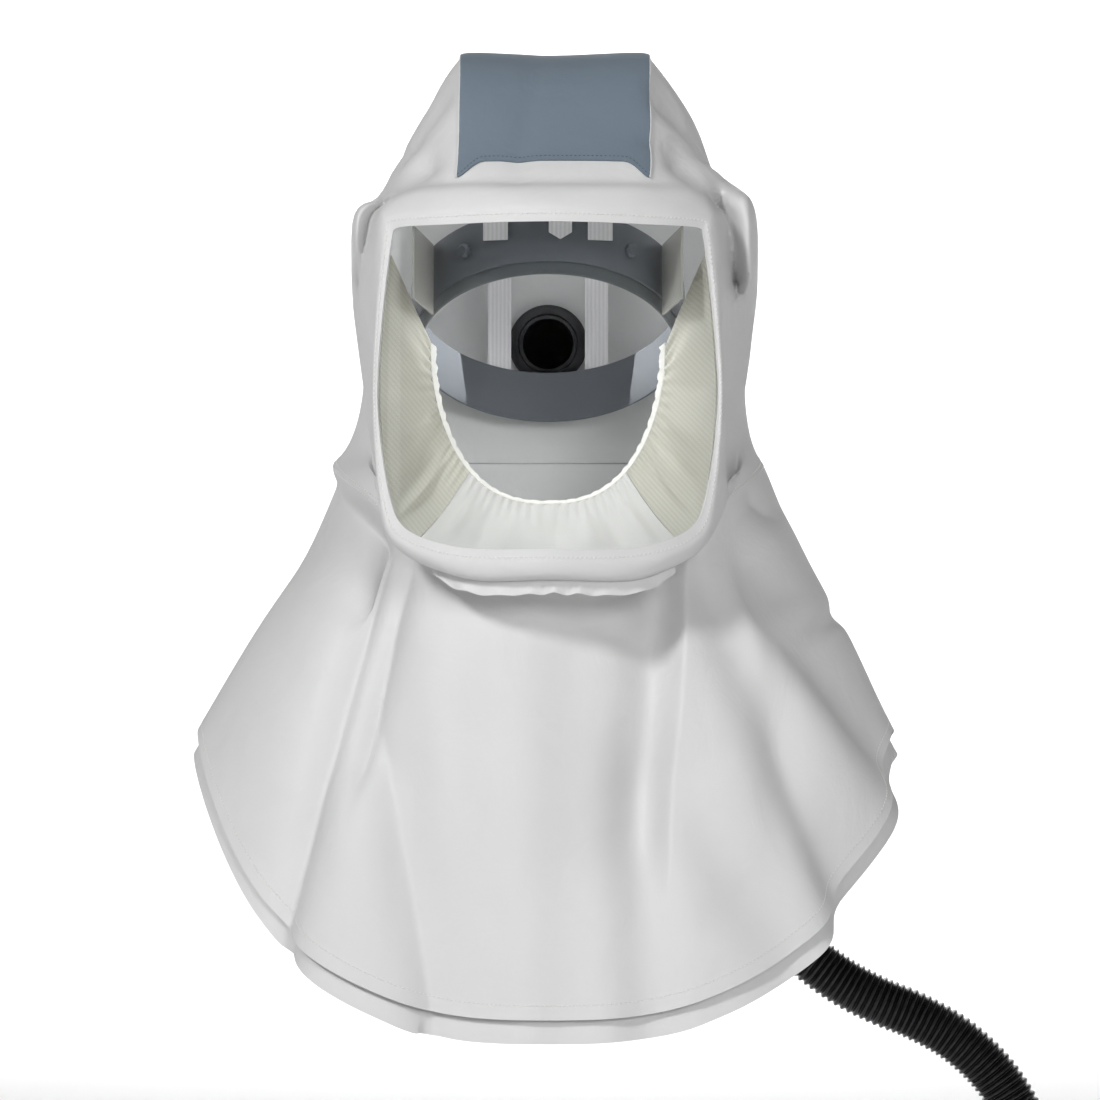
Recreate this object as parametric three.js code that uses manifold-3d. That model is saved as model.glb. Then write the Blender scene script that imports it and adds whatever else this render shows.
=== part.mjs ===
// Powered-air respirator hood with a double shoulder cape, a clear window, a head harness and a breathing hose.
// Millimetres. +X is the wearer's left, the window faces -Y and +Z is up. The origin is where the crown straps
// rest on the top of the head.
import * as THREE from "three";
import { mergeVertices } from "three/addons/utils/BufferGeometryUtils.js";
import Module from "manifold-3d";

const wasm = await Module();
wasm.setup();

// Driving sizes
const CROWN_RISE = 21; // flat top of the hood above the head
const SEAM_DROP = 205; // neck seam below the top of the head
const HOOD_HALF_WIDTH = 115;
const HOOD_FRONT = 150; // ear plane to the window's top edge
const HOOD_LEAN = 4; // the worn hood leans a little to one side
const CROWN_PANEL_WIDTH = 107;
const WINDOW_WIDTH = 190;
const WINDOW_TOP = 77.5; // window's top edge below the top of the head
const WINDOW_HEIGHT = 180;
const WINDOW_TILT = 14; // how much further forward the window's foot stands
const WINDOW_BOW = 38; // how far the window's sides stand back
const BORDER = 9; // stitched fabric border round the window
const VISOR_WALL = 1;
const VISOR_LAP = 6.5; // how far the visor runs behind the border
const FABRIC = 1.2;
const LINING = 1;
const CLEAR = 0.3; // gap between pieces that touch
const CAPE_HALF_WIDTH = 208;
const CAPE_FRONT = 152;
const CAPE_BACK = 166;
const CAPE_FRONT_DROP = 516;
const CAPE_SIDE_DROP = 362;
const CAPE_BACK_DROP = 500;
const INNER_EXTRA = 0.035; // the inner cape is longer by this share of the outer one
const INNER_GAP = 8; // gap between the two capes at the hem
const FRILL_HALF_WIDTH = 66;
const FRILL_DROP = 8;
const FRILL_WAVES = 9;
const FRILL_DEPTH = 2.2;
const HEAD_HALF_WIDTH = 78;
const HEAD_HALF_DEPTH = 97;
const BACK_ROOM = 16; // room behind the head for the hose port
const HOOD_BACK = HEAD_HALF_DEPTH + BACK_ROOM;
const BAND_DROP = 96; // lower front edge of the sweatband below the top of the head
const BAND_TILT = 84; // how much lower the band sits at the nape
const BAND_HEIGHT = 30;
const BAND_WALL = 2;
const SWEATBAND_HEIGHT = 18;
const SWEATBAND_WALL = 3;
const SWEATBAND_SHOWS = 7; // how far it hangs below the band
const SWEATBAND_ANGLE = 1.25; // radians round the band from the brow to each end
const STRAP_WIDTH = 14;
const STRAP_WALL = 1.4;
const STRAP_OFFSET = 29.5; // crown straps left and right of the middle
const STRAP_HANG = 18; // how far the straps hang over the front of the band
const TAB_WIDTH = 13;
const TAB_LENGTH = 20;
const TAB_OFFSET = 7; // the centre tab beside the middle
const STUD_RADIUS = 4.2;
const STUD_HEIGHT = 3;
const STUD_ANGLE = 0.62; // radians round the band from the brow
const FACE_HALF_WIDTH = 68;
const FACE_TOP = 138; // the seal's upper ends below the top of the head
const FACE_CHIN = 232;
const FACE_BACK = 38; // the seal's upper ends in front of the ear plane
const FACE_FRONT = 76; // the seal under the chin in front of the ear plane
const RUFFLE_WIDTH = 9;
const RUFFLE_WALL = 1.6;
const RUFFLE_WAVES = 30;
const SEAL_SLACK = 10; // sag of the seal's cloth
const LUG_WIDTH = 40;
const LUG_ANGLE = 0.95; // radians round the band from the brow
const LUG_REACH = 0.78; // share of the window's half width
const LUG_WALL = 1.2;
const PORT_DROP = 132; // hose port below the top of the head
const PORT_RADIUS = 18;
const PORT_WALL = 2.5;
const PORT_FLANGE_RADIUS = 27;
const PORT_FLANGE = 3;
const PORT_SLACK = 2.5; // room for the curved cloth between flange and nut
const NUT_RADIUS = 24;
const NUT_HEIGHT = 6;
const ELBOW_BEND = 27;
const CUFF_RADIUS = 19;
const CUFF_LENGTH = 34;
const HOSE_DIAMETER = 31;
const PLUG_RADIUS = 20;
const PLUG_LENGTH = 46;
const PLUG_BORE = 13;

const TAU = Math.PI * 2;
const COLOURS = {
  shell: 0xd4d5d5,
  panel: 0x7c8994,
  visor: 0xeef3f4,
  frill: 0xdedcd6,
  twill: 0xdfddd2,
  mesh: 0xeeeeec,
  band: 0x3b3f45,
  sweatband: 0x5c6062,
  webbing: 0xe2dfe2,
  lug: 0xb7b6b0,
  rubber: 0x141315,
  port: 0x232326,
};

const vec = (x, y, z) => new THREE.Vector3(x, y, z);
const mix = THREE.MathUtils.lerp;
const smooth = THREE.MathUtils.smoothstep;
const bell = (distance, width) => Math.exp(-((distance / width) ** 2));

// Cubic through the values a, b, c and d at evenly spaced places, from b at t = 0 to c at t = 1. easeB and easeC
// shorten the tangents there, so that 1 leaves a corner.
function hermite(a, b, c, d, t, easeB = 0, easeC = 0) {
  const tb = ((c - a) / 2) * (1 - easeB);
  const tc = ((d - b) / 2) * (1 - easeC);
  const t2 = t * t;
  const t3 = t2 * t;
  return b * (2 * t3 - 3 * t2 + 1) + tb * (t3 - 2 * t2 + t) + c * (3 * t2 - 2 * t3) + tc * (t3 - t2);
}

// The value at t, from 0 to 1, of the cubic through a list of values.
function through(values, t) {
  const last = values.length - 1;
  const at = Math.min(Math.max(t, 0), 1) * last;
  const i = Math.min(Math.floor(at), last - 1);
  const before = i > 0 ? values[i - 1] : 2 * values[0] - values[1];
  const after = i + 2 <= last ? values[i + 2] : 2 * values[last] - values[last - 1];
  return hermite(before, values[i], values[i + 1], after, at - i);
}

// Window surface: the outer face of the border and the visor.
const windowHalf = WINDOW_WIDTH / 2;
function windowY(x, z) {
  const down = (-WINDOW_TOP - z) / WINDOW_HEIGHT;
  return -HOOD_FRONT - WINDOW_TILT * down + WINDOW_BOW * (x / windowHalf) ** 2;
}

function windowPoint(x, z, inset) {
  const out = vec((2 * WINDOW_BOW * x) / windowHalf ** 2, -1, WINDOW_TILT / WINDOW_HEIGHT).normalize();
  return vec(x, windowY(x, z), z).addScaledVector(out, -inset);
}

// The hood is lofted through rings that turn from the window to the neck. Round each ring run seven lines and
// the mirror images of five of them. x is a share of the hood's half width, y of its front or back depth, and z
// of its height from the neck seam (0) to the crown (1). On the two window rings x is a share of the window's
// half width and z of its height, and y comes from the window's surface.
const LINES = ["top", "crown", "shoulder", "cheek", "jaw", "chin", "throat"];
const WINDOW_RINGS = [
  { top: [0, 1], crown: [0.56, 0.996], shoulder: [0.905, 0.985], cheek: [1, 0.48], jaw: [0.885, 0.1],
    chin: [0.56, 0.01], throat: [0, 0] },
];
const HOOD_RINGS = [
  { name: "brow", lean: 0.3, crownEdge: 0.2, shoulderEdge: 0.1,
    top: [0, -0.935, 0.655], crown: [1.03, -0.853, 0.66], shoulder: [0.915, -0.59, 0.625],
    cheek: [0.878, -0.63, 0.13], jaw: [0.795, -0.76, -0.185], chin: [0.478, -0.975, -0.292],
    throat: [0, -1.07, -0.3] },
  { name: "forehead", lean: 0.9, crownEdge: 0.7, shoulderEdge: 0,
    top: [0, -0.8, 0.727], crown: [1, -0.757, 0.723], shoulder: [0.983, -0.4, 0.63],
    cheek: [0.883, -0.47, 0.1], jaw: [0.805, -0.66, -0.165], chin: [0.46, -0.92, -0.298],
    throat: [0, -1.005, -0.306] },
  { name: "crown_front", lean: 1, crownEdge: 0.85, shoulderEdge: 0,
    top: [0, -0.44, 0.992], crown: [1, -0.42, 1], shoulder: [1.005, -0.17, 0.59],
    cheek: [0.9, -0.3, 0.066], jaw: [0.825, -0.575, -0.135], chin: [0.45, -0.865, -0.291],
    throat: [0, -0.94, -0.3] },
  { name: "crown_rear", lean: 1, crownEdge: 0.8, shoulderEdge: 0,
    top: [0, 0.44, 0.995], crown: [1, 0.42, 0.985], shoulder: [1.005, 0.2, 0.535],
    cheek: [0.94, -0.147, 0.035], jaw: [0.845, -0.507, -0.1], chin: [0.44, -0.82, -0.28],
    throat: [0, -0.887, -0.287] },
  { name: "back", lean: 1, crownEdge: 0.4, shoulderEdge: 0,
    top: [0, 1, 0.66], crown: [0.925, 0.93, 0.66], shoulder: [0.93, 0.45, 0.36],
    cheek: [0.96, -0.053, 0.05], jaw: [0.863, -0.447, -0.066], chin: [0.43, -0.77, -0.262],
    throat: [0, -0.84, -0.272] },
  { name: "neck_seam", lean: 0, crownEdge: 0, shoulderEdge: 0,
    top: [0, 1, 0], crown: [0.86, 0.93, 0], shoulder: [0.87, 0.53, 0],
    cheek: [1.09, 0.035, -0.006], jaw: [0.915, -0.4, -0.085], chin: [0.45, -0.7, -0.235],
    throat: [0, -0.793, -0.262] },
];
const RING_COUNT = HOOD_RINGS.length + 2;
const hoodHeight = CROWN_RISE + SEAM_DROP;

// One ring's own points as vectors, for the right side.
function ringPoints(ring) {
  const points = LINES.map((line) => {
    if (ring < 2) {
      const [x, z] = WINDOW_RINGS[0][line];
      const grow = ring * BORDER;
      const px = x * windowHalf + (x ? grow * (line === "cheek" ? 0.6 : 0.72) * Math.min(1, x * 1.1) : 0);
      const up = { top: 1, crown: 1, shoulder: 0.95, cheek: 0, jaw: -0.75, chin: -0.95, throat: -1 }[line];
      const pz = -WINDOW_TOP - WINDOW_HEIGHT * (1 - z) + grow * up;
      return vec(px, windowY(px, pz), pz);
    }
    const [x, y, z] = HOOD_RINGS[ring - 2][line];
    const half = line === "crown" ? CROWN_PANEL_WIDTH / 2 : HOOD_HALF_WIDTH;
    return vec(x * half, y * (y < 0 ? HOOD_FRONT : HOOD_BACK), z * hoodHeight - SEAM_DROP);
  });
  return points;
}

function ringEdges(ring) {
  if (ring < 2) return { crown: 0, shoulder: 0.8, jaw: 0.35, lean: 0 };
  const { crownEdge, shoulderEdge, lean } = HOOD_RINGS[ring - 2];
  return { crown: crownEdge, shoulder: shoulderEdge, jaw: 0, lean };
}

const rings = Array.from({ length: RING_COUNT }, (_, i) => ringPoints(i));
const edges = Array.from({ length: RING_COUNT }, (_, i) => ringEdges(i));

// Twelve points round the hood at v, from the window (0) to the neck seam (1), and their corner sharpness.
function hoodRing(v) {
  const right = LINES.map((_, k) =>
    vec(...["x", "y", "z"].map((axis) => through(rings.map((ring) => ring[k][axis]), v))),
  );
  const edge = (key) => through(edges.map((e) => e[key]), v);
  const shift = edge("lean") * HOOD_LEAN;
  const left = right.slice(1, -1).reverse().map((p) => vec(-p.x, p.y, p.z));
  const all = [...right, ...left];
  all.forEach((p) => (p.x += shift));
  const sharp = [0, edge("crown"), edge("shoulder"), 0, edge("jaw"), 0, 0];
  return { points: all, sharp: [...sharp, ...sharp.slice(1, -1).reverse()] };
}

// A point on a closed ring of control points: u runs from 0 at the top or back once round.
function roundRing({ points, sharp }, u) {
  const n = points.length;
  const at = (((u % 1) + 1) % 1) * n;
  const i = Math.floor(at) % n;
  const [a, b, c, d] = [i + n - 1, i, i + 1, i + 2].map((k) => points[k % n]);
  const eases = [sharp[i], sharp[(i + 1) % n]];
  const t = at - Math.floor(at);
  return vec(...["x", "y", "z"].map((axis) => hermite(a[axis], b[axis], c[axis], d[axis], t, ...eases)));
}

// Folds and dents, seen from the front. Each row runs from (x0, z0) to (x1, z1), in shares of the hood's half
// width and of its height below the crown. A valley sinks on both sides of its line, and a step only on the side
// that side names: -1 is towards -X. Depth is negative inwards.
const HOOD_FOLDS = [
  { x0: -0.86, z0: 0.34, x1: -0.93, z1: 0.6, width: 0.06, depth: -0.06, kind: "valley" },
  { x0: -0.72, z0: 0.335, x1: -0.86, z1: 0.34, width: 0.05, depth: -0.05, kind: "valley" },
  { x0: 0.9, z0: 0.36, x1: 0.985, z1: 0.62, width: 0.06, depth: -0.05, kind: "valley" },
  { x0: 0.68, z0: 0.34, x1: 0.79, z1: 0.37, width: 0.055, depth: -0.04, kind: "valley" },
  { x0: -0.7, z0: 0.385, x1: -0.5, z1: 0.385, width: 0.04, depth: -0.025, kind: "valley" },
  { x0: 0.5, z0: 0.385, x1: 0.7, z1: 0.39, width: 0.04, depth: -0.025, kind: "valley" },
  { x0: -0.92, z0: 0.78, x1: -0.86, z1: 0.83, width: 0.06, depth: -0.02, kind: "valley" },
  { x0: 0.95, z0: 0.7, x1: 0.9, z1: 0.83, width: 0.07, depth: -0.02, kind: "valley" },
];

// How far a fold moves a point (x, z), all in millimetres.
function foldDepth(fold, x, z) {
  const along = vec(fold.x1 - fold.x0, 0, fold.z1 - fold.z0);
  const length = along.length();
  along.normalize();
  const from = vec(x - fold.x0, 0, z - fold.z0);
  const t = from.dot(along);
  const past = Math.max(0, -t, t - length);
  const across = from.x * along.z - from.z * along.x;
  const ends = bell(past, fold.width * 1.6);
  if (fold.kind === "valley") return fold.depth * bell(across, fold.width) * ends;
  const side = across * fold.side;
  const share = side < 0 ? bell(side, fold.width * 0.2) : Math.exp(-side / fold.width);
  return fold.depth * share * ends;
}

const hoodFolds = HOOD_FOLDS.map((f) => ({
  ...f,
  x0: f.x0 * HOOD_HALF_WIDTH,
  x1: f.x1 * HOOD_HALF_WIDTH,
  z0: CROWN_RISE - f.z0 * hoodHeight,
  z1: CROWN_RISE - f.z1 * hoodHeight,
  width: f.width * hoodHeight,
  depth: f.depth * hoodHeight,
}));

const hoodPoint = (u, v) => roundRing(hoodRing(v), u);

// The outer cape hangs from the neck seam. x is a share of the cape's half width, y of its front or back reach,
// and z of the drop of the line's own hem below the neck seam.
const CAPE_RINGS = [
  { share: 0.33,
    top: [0, 0.79, 0.34], crown: [0.27, 0.75, 0.34], shoulder: [0.61, 0.46, 0.33], cheek: [0.722, 0.03, 0.34],
    jaw: [0.6, -0.545, 0.29], chin: [0.33, -0.79, 0.42], throat: [0, -0.855, 0.45] },
  { share: 0.67,
    top: [0, 0.9, 0.68], crown: [0.31, 0.85, 0.68], shoulder: [0.72, 0.52, 0.67], cheek: [0.864, 0.03, 0.67],
    jaw: [0.72, -0.64, 0.62], chin: [0.38, -0.875, 0.71], throat: [0, -0.94, 0.73] },
  { share: 1,
    top: [0, 1, 1], crown: [0.36, 0.93, 1], shoulder: [0.82, 0.56, 1], cheek: [1, 0.03, 1],
    jaw: [0.81, -0.7, 1], chin: [0.42, -0.94, 1], throat: [0, -1, 1] },
];
const HEM_DROPS = {
  top: CAPE_BACK_DROP,
  crown: mix(CAPE_SIDE_DROP, CAPE_BACK_DROP, 0.95),
  shoulder: mix(CAPE_SIDE_DROP, CAPE_BACK_DROP, 0.42),
  cheek: CAPE_SIDE_DROP,
  jaw: mix(CAPE_SIDE_DROP, CAPE_FRONT_DROP, 0.6),
  chin: mix(CAPE_SIDE_DROP, CAPE_FRONT_DROP, 0.93),
  throat: CAPE_FRONT_DROP,
};
const seamRing = rings[RING_COUNT - 1];
const capeRings = [
  seamRing,
  ...CAPE_RINGS.map((ring) =>
    LINES.map((line) => {
      const [x, y, z] = ring[line];
      const reach = y < 0 ? CAPE_FRONT : CAPE_BACK;
      return vec(x * CAPE_HALF_WIDTH, y * reach, -mix(SEAM_DROP, HEM_DROPS[line], z));
    }),
  ),
];

const CAPE_FOLDS = [
  { x0: -0.81, z0: 0.1, x1: -1.28, z1: 0.93, width: 0.16, depth: -0.055, kind: "step", side: -1 },
  { x0: 0.68, z0: 0.16, x1: 0.74, z1: 0.6, width: 0.085, depth: -0.075, kind: "valley" },
  { x0: 0.92, z0: 0.12, x1: 1.42, z1: 0.62, width: 0.08, depth: -0.035, kind: "valley" },
  { x0: 1.02, z0: 0.02, x1: 1.5, z1: 0.4, width: 0.07, depth: -0.025, kind: "valley" },
  { x0: 0.3, z0: 0.5, x1: 0.36, z1: 0.98, width: 0.1, depth: -0.018, kind: "valley" },
  { x0: 0.98, z0: 0.55, x1: 1.1, z1: 0.95, width: 0.1, depth: -0.03, kind: "valley" },
  { x0: -0.92, z0: 0.36, x1: -0.72, z1: 0.9, width: 0.1, depth: -0.018, kind: "valley" },
  { x0: -0.45, z0: 0.5, x1: -0.38, z1: 0.95, width: 0.12, depth: -0.016, kind: "valley" },
];
const capeHeight = CAPE_FRONT_DROP - SEAM_DROP;
const capeFolds = CAPE_FOLDS.map((f) => ({
  ...f,
  x0: f.x0 * HOOD_HALF_WIDTH,
  x1: f.x1 * HOOD_HALF_WIDTH,
  z0: -SEAM_DROP - f.z0 * capeHeight,
  z1: -SEAM_DROP - f.z1 * capeHeight,
  width: f.width * capeHeight,
  depth: f.depth * capeHeight,
}));

function capePoint(u, v) {
  const inside = Math.min(v, 1);
  const ring = (at) => {
    const right = LINES.map((_, k) =>
      vec(...["x", "y", "z"].map((axis) => through(capeRings.map((r) => r[k][axis]), at))),
    );
    const left = right.slice(1, -1).reverse().map((p) => vec(-p.x, p.y, p.z));
    return { points: [...right, ...left], sharp: new Array(12).fill(0) };
  };
  const p = roundRing(ring(inside), u);
  if (v <= 1) return p;
  const back = roundRing(ring(2 - v), u);
  return p.clone().multiplyScalar(2).sub(back);
}

// Grids and solids

// Normals of a grid of points, by central differences. Rows run down and columns run round.
function gridNormals(grid, closed) {
  const rows = grid.length;
  const columns = grid[0].length;
  return grid.map((row, j) =>
    row.map((_, i) => {
      const next = closed ? (i + 1) % columns : Math.min(i + 1, columns - 1);
      const last = closed ? (i + columns - 1) % columns : Math.max(i - 1, 0);
      const du = row[next].clone().sub(row[last]);
      const dv = grid[Math.min(j + 1, rows - 1)][i].clone().sub(grid[Math.max(j - 1, 0)][i]);
      return du.cross(dv).normalize();
    }),
  );
}

const pushed = (grid, normals, distance) =>
  grid.map((row, j) => row.map((p, i) => p.clone().addScaledVector(normals[j][i], distance(j, i))));

// A closed mesh from rings of points, joined each to the next and the last to the first. The first half of the
// rings is one face of a wall and the second half, in reverse, the other. Open rings are closed at their ends.
function ringsGeometry(ringList, closed) {
  const count = ringList.length;
  const columns = ringList[0].length;
  const positions = ringList.flat().flatMap((p) => [p.x, p.y, p.z]);
  const faces = [];
  const id = (k, i) => (k % count) * columns + (i % columns);
  const steps = closed ? columns : columns - 1;
  for (let k = 0; k < count; k++) {
    for (let i = 0; i < steps; i++) {
      const [a, b, c, d] = [id(k, i), id(k, i + 1), id(k + 1, i + 1), id(k + 1, i)];
      if (k < count / 2) faces.push(a, b, c, a, c, d);
      else faces.push(a, b, d, b, c, d);
    }
  }
  if (!closed) {
    for (let j = 0; j < count / 2 - 1; j++) {
      const [a, b, c, d] = [j, j + 1, count - 2 - j, count - 1 - j];
      const end = columns - 1;
      faces.push(id(a, 0), id(b, 0), id(c, 0), id(a, 0), id(c, 0), id(d, 0));
      faces.push(id(a, end), id(c, end), id(b, end), id(a, end), id(d, end), id(c, end));
    }
  }
  const geometry = new THREE.BufferGeometry();
  geometry.setAttribute("position", new THREE.Float32BufferAttribute(positions, 3));
  geometry.setIndex(faces);
  return faceOut(geometry);
}

// The same mesh with equal points made one and the triangles that this leaves without area dropped.
function welded(geometry) {
  const merged = mergeVertices(bareCopy(geometry), 1e-3);
  const old = merged.index.array;
  const kept = [];
  for (let i = 0; i < old.length; i += 3) {
    const [a, b, c] = [old[i], old[i + 1], old[i + 2]];
    if (a !== b && b !== c && c !== a) kept.push(a, b, c);
  }
  merged.setIndex(kept);
  return faceOut(merged);
}

function signedVolume(geometry) {
  const p = geometry.getAttribute("position");
  const index = geometry.index.array;
  const [a, b, c] = [vec(), vec(), vec()];
  let volume = 0;
  for (let i = 0; i < index.length; i += 3) {
    a.fromBufferAttribute(p, index[i]);
    b.fromBufferAttribute(p, index[i + 1]);
    c.fromBufferAttribute(p, index[i + 2]);
    volume += a.dot(b.cross(c));
  }
  return volume;
}

function faceOut(geometry) {
  if (signedVolume(geometry) < 0) {
    const index = geometry.index.array;
    for (let i = 0; i < index.length; i += 3) [index[i + 1], index[i + 2]] = [index[i + 2], index[i + 1]];
  }
  geometry.computeVertexNormals();
  return geometry;
}

// A wall whose outer face is the grid.
function wallGeometry(grid, wall, closed, outward = 1) {
  const normals = gridNormals(grid, closed);
  const inner = pushed(grid, normals, () => -wall * outward);
  return ringsGeometry([...grid, ...inner.reverse()], closed);
}

const range = (n) => Array.from({ length: n }, (_, i) => i);

// The grid of a surface function over u and v.
const gridOf = (point, us, vs) => vs.map((v) => us.map((u) => point(u, v)));

// The grid with its folds pressed in, on the front only. fade says how much of them each row takes.
function foldedGrid(grid, folds, fade) {
  const normals = gridNormals(grid, true);
  const outward = outwardSign(grid, normals);
  return grid.map((row, j) =>
    row.map((p, i) => {
      const facing = smooth(-normals[j][i].y * outward, -0.15, 0.25);
      const depth = folds.reduce((sum, f) => sum + foldDepth(f, p.x, p.z), 0) * facing * fade(j);
      return p.clone().addScaledVector(normals[j][i], depth * outward);
    }),
  );
}

// +1 where a ring-shaped grid's normals point away from its own middle line, and -1 where they point to it.
function outwardSign(grid, normals) {
  let sum = 0;
  grid.forEach((row, j) => {
    const middle = row.reduce((m, p) => m.add(p), vec(0, 0, 0)).divideScalar(row.length);
    row.forEach((p, i) => (sum += p.clone().sub(middle).dot(normals[j][i])));
  });
  return Math.sign(sum);
}

function solidOf(geometry) {
  const bare = new THREE.BufferGeometry();
  bare.setAttribute("position", geometry.getAttribute("position"));
  if (geometry.index) bare.setIndex(geometry.index);
  const merged = mergeVertices(bare, 1e-3);
  return new wasm.Manifold(
    new wasm.Mesh({
      numProp: 3,
      vertProperties: new Float32Array(merged.attributes.position.array),
      triVerts: new Uint32Array(merged.index.array),
    }),
  );
}

function geometryOf(solid) {
  const made = solid.getMesh();
  const geometry = new THREE.BufferGeometry();
  geometry.setAttribute("position", new THREE.Float32BufferAttribute(made.vertProperties, 3));
  geometry.setIndex(new THREE.BufferAttribute(made.triVerts, 1));
  geometry.computeVertexNormals();
  return geometry;
}

const cut = (geometry, ...tools) =>
  geometryOf(tools.reduce((solid, tool) => solid.subtract(solidOf(tool)), solidOf(geometry)));

// A turned piece: profile is [radius, height] pairs, closed on itself, and the axis is +Y.
function turned(profile, segments = 20) {
  const points = [...profile, profile[0]].map(([r, h]) => new THREE.Vector2(r, h));
  return welded(new THREE.LatheGeometry(points, segments));
}

function bareCopy(geometry) {
  const bare = new THREE.BufferGeometry();
  bare.setAttribute("position", geometry.getAttribute("position"));
  if (geometry.index) bare.setIndex(geometry.index);
  return bare;
}

// A rod of round section along a curve, with flat ends.
function rod(curve, radius, steps, sides) {
  const corner = (angle) => new THREE.Vector2(radius * Math.cos(angle), radius * Math.sin(angle));
  const section = new THREE.Shape(range(sides).map((i) => corner((i * TAU) / sides)));
  const made = new THREE.ExtrudeGeometry(section, { steps, extrudePath: curve, bevelEnabled: false });
  return welded(made);
}

const part = new THREE.Group();
function add(name, geometry, colour, { roughness = 0.6, metalness = 0, opacity = 1 } = {}) {
  const material = new THREE.MeshStandardMaterial({
    color: colour,
    roughness,
    metalness,
    opacity,
    transparent: opacity < 1,
  });
  const mesh = new THREE.Mesh(geometry, material);
  mesh.name = name;
  part.add(mesh);
  return mesh;
}

// Hood
const COLUMNS = 60;
const PANEL_COLUMNS = COLUMNS / 12;
const PANEL_ROWS = [6, 12];
const hoodUs = range(COLUMNS).map((i) => i / COLUMNS);
const hoodVs = [0, 0.05, 0.1, 0.143, 0.2, 0.286, 0.42, 0.5, 0.571, 0.64, 0.714, 0.78, 0.857, 0.93, 1];
const hoodFade = (j) => smooth(hoodVs[j], 1 / (RING_COUNT - 1), 2.2 / (RING_COUNT - 1));
const hoodGrid = foldedGrid(gridOf(hoodPoint, hoodUs, hoodVs), hoodFolds, hoodFade);
const hoodNormals = gridNormals(hoodGrid, true);
const hoodOut = outwardSign(hoodGrid, hoodNormals);

// How far behind the ear plane the middle of the hood's back is, at the port's height.
function backOfHood(drop) {
  const line = hoodGrid.map((row) => row[0]).filter((p) => p.y > 0);
  const k = line.findIndex((p) => p.z < -drop);
  const [a, b] = [line[k - 1], line[k]];
  return mix(a.y, b.y, (-drop - a.z) / (b.z - a.z));
}
const portY = backOfHood(PORT_DROP);
const atPort = (geometry) => geometry.translate(0, portY, -PORT_DROP);

function hood() {
  const shell = wallGeometry(hoodGrid, FABRIC, true, hoodOut);
  const radius = PORT_RADIUS + CLEAR;
  const hole = new THREE.CylinderGeometry(radius, radius, PORT_FLANGE_RADIUS * 2, 24);
  return cut(shell, atPort(bareCopy(hole)));
}

function crownPanel() {
  const rows = hoodGrid.slice(...PANEL_ROWS);
  const normals = hoodNormals.slice(...PANEL_ROWS);
  const around = range(2 * PANEL_COLUMNS + 1).map((i) => (i - PANEL_COLUMNS + COLUMNS) % COLUMNS);
  const layer = (distance) =>
    rows.map((row, j) => around.map((i) => row[i].clone().addScaledVector(normals[j][i], distance * hoodOut)));
  return ringsGeometry([...layer(CLEAR + LINING), ...layer(CLEAR).reverse()], false);
}

add("hood_shell", hood(), COLOURS.shell);
add("crown_panel", crownPanel(), COLOURS.panel);

// Window
const VISOR_COLUMNS = COLUMNS / 2;
const visorUs = range(VISOR_COLUMNS).map((i) => i / VISOR_COLUMNS);
const windowMiddle = -WINDOW_TOP - WINDOW_HEIGHT / 2;

// A point of the window's outline, grown by a distance towards the border's outer edge.
function outline(u, grow) {
  const edge = hoodPoint(u, 0);
  const outer = hoodPoint(u, 1 / (RING_COUNT - 1));
  return vec(mix(edge.x, outer.x, grow / BORDER), 0, mix(edge.z, outer.z, grow / BORDER));
}

function visor() {
  const front = FABRIC + CLEAR * 3;
  const layer = (inset) =>
    [0, 0.25, 0.5, 0.75, 0.93, 1].map((share) =>
      visorUs.map((u) => {
        const edge = outline(u, VISOR_LAP);
        return windowPoint(edge.x * share, mix(windowMiddle, edge.z, share), inset);
      }),
    );
  return welded(ringsGeometry([...layer(front), ...layer(front + VISOR_WALL).reverse()], true));
}
add("visor", visor(), COLOURS.visor, { roughness: 0.05, opacity: 0.25 });

// Chin frill, gathered under the rolled foot of the hood
function frill() {
  const columns = FRILL_WAVES * 4 + 1;
  const reach = (FRILL_HALF_WIDTH / HOOD_HALF_WIDTH) * 0.19;
  const across = range(columns).map((i) => (2 * i) / (columns - 1) - 1);
  const rows = [0, 0.5, 1].map((down) =>
    across.map((s) => {
      const p = hoodPoint(0.5 - s * reach, 0.4);
      const wave = Math.cos(s * FRILL_WAVES * Math.PI);
      p.y -= FRILL_DEPTH * wave * down;
      p.z -= CLEAR * 2 + down * (FRILL_DROP - FRILL_DEPTH * (0.5 + 0.5 * wave)) * (1 - 0.5 * s ** 6);
      return p;
    }),
  );
  const back = rows.map((row) => row.map((p) => vec(p.x, p.y + LINING, p.z)));
  return ringsGeometry([...rows, ...back.reverse()], false);
}
add("chin_frill", frill(), COLOURS.frill);

// Capes
const capeVs = [0, 0.14, 0.34, 0.56, 0.78, 1];
const capeFade = (j) => Math.min(j, 1);
const capeGrid = foldedGrid(gridOf(capePoint, hoodUs, capeVs), capeFolds, capeFade);
capeGrid[0] = hoodGrid[hoodGrid.length - 1].map((p, i) => {
  const down = capeGrid[1][i].clone().sub(p).normalize();
  return p.clone().addScaledVector(down, FABRIC + CLEAR * 2);
});
const capeNormals = gridNormals(capeGrid, true);
const capeOut = outwardSign(capeGrid, capeNormals);

function outerCape() {
  return wallGeometry(capeGrid, FABRIC, true, capeOut);
}

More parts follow.
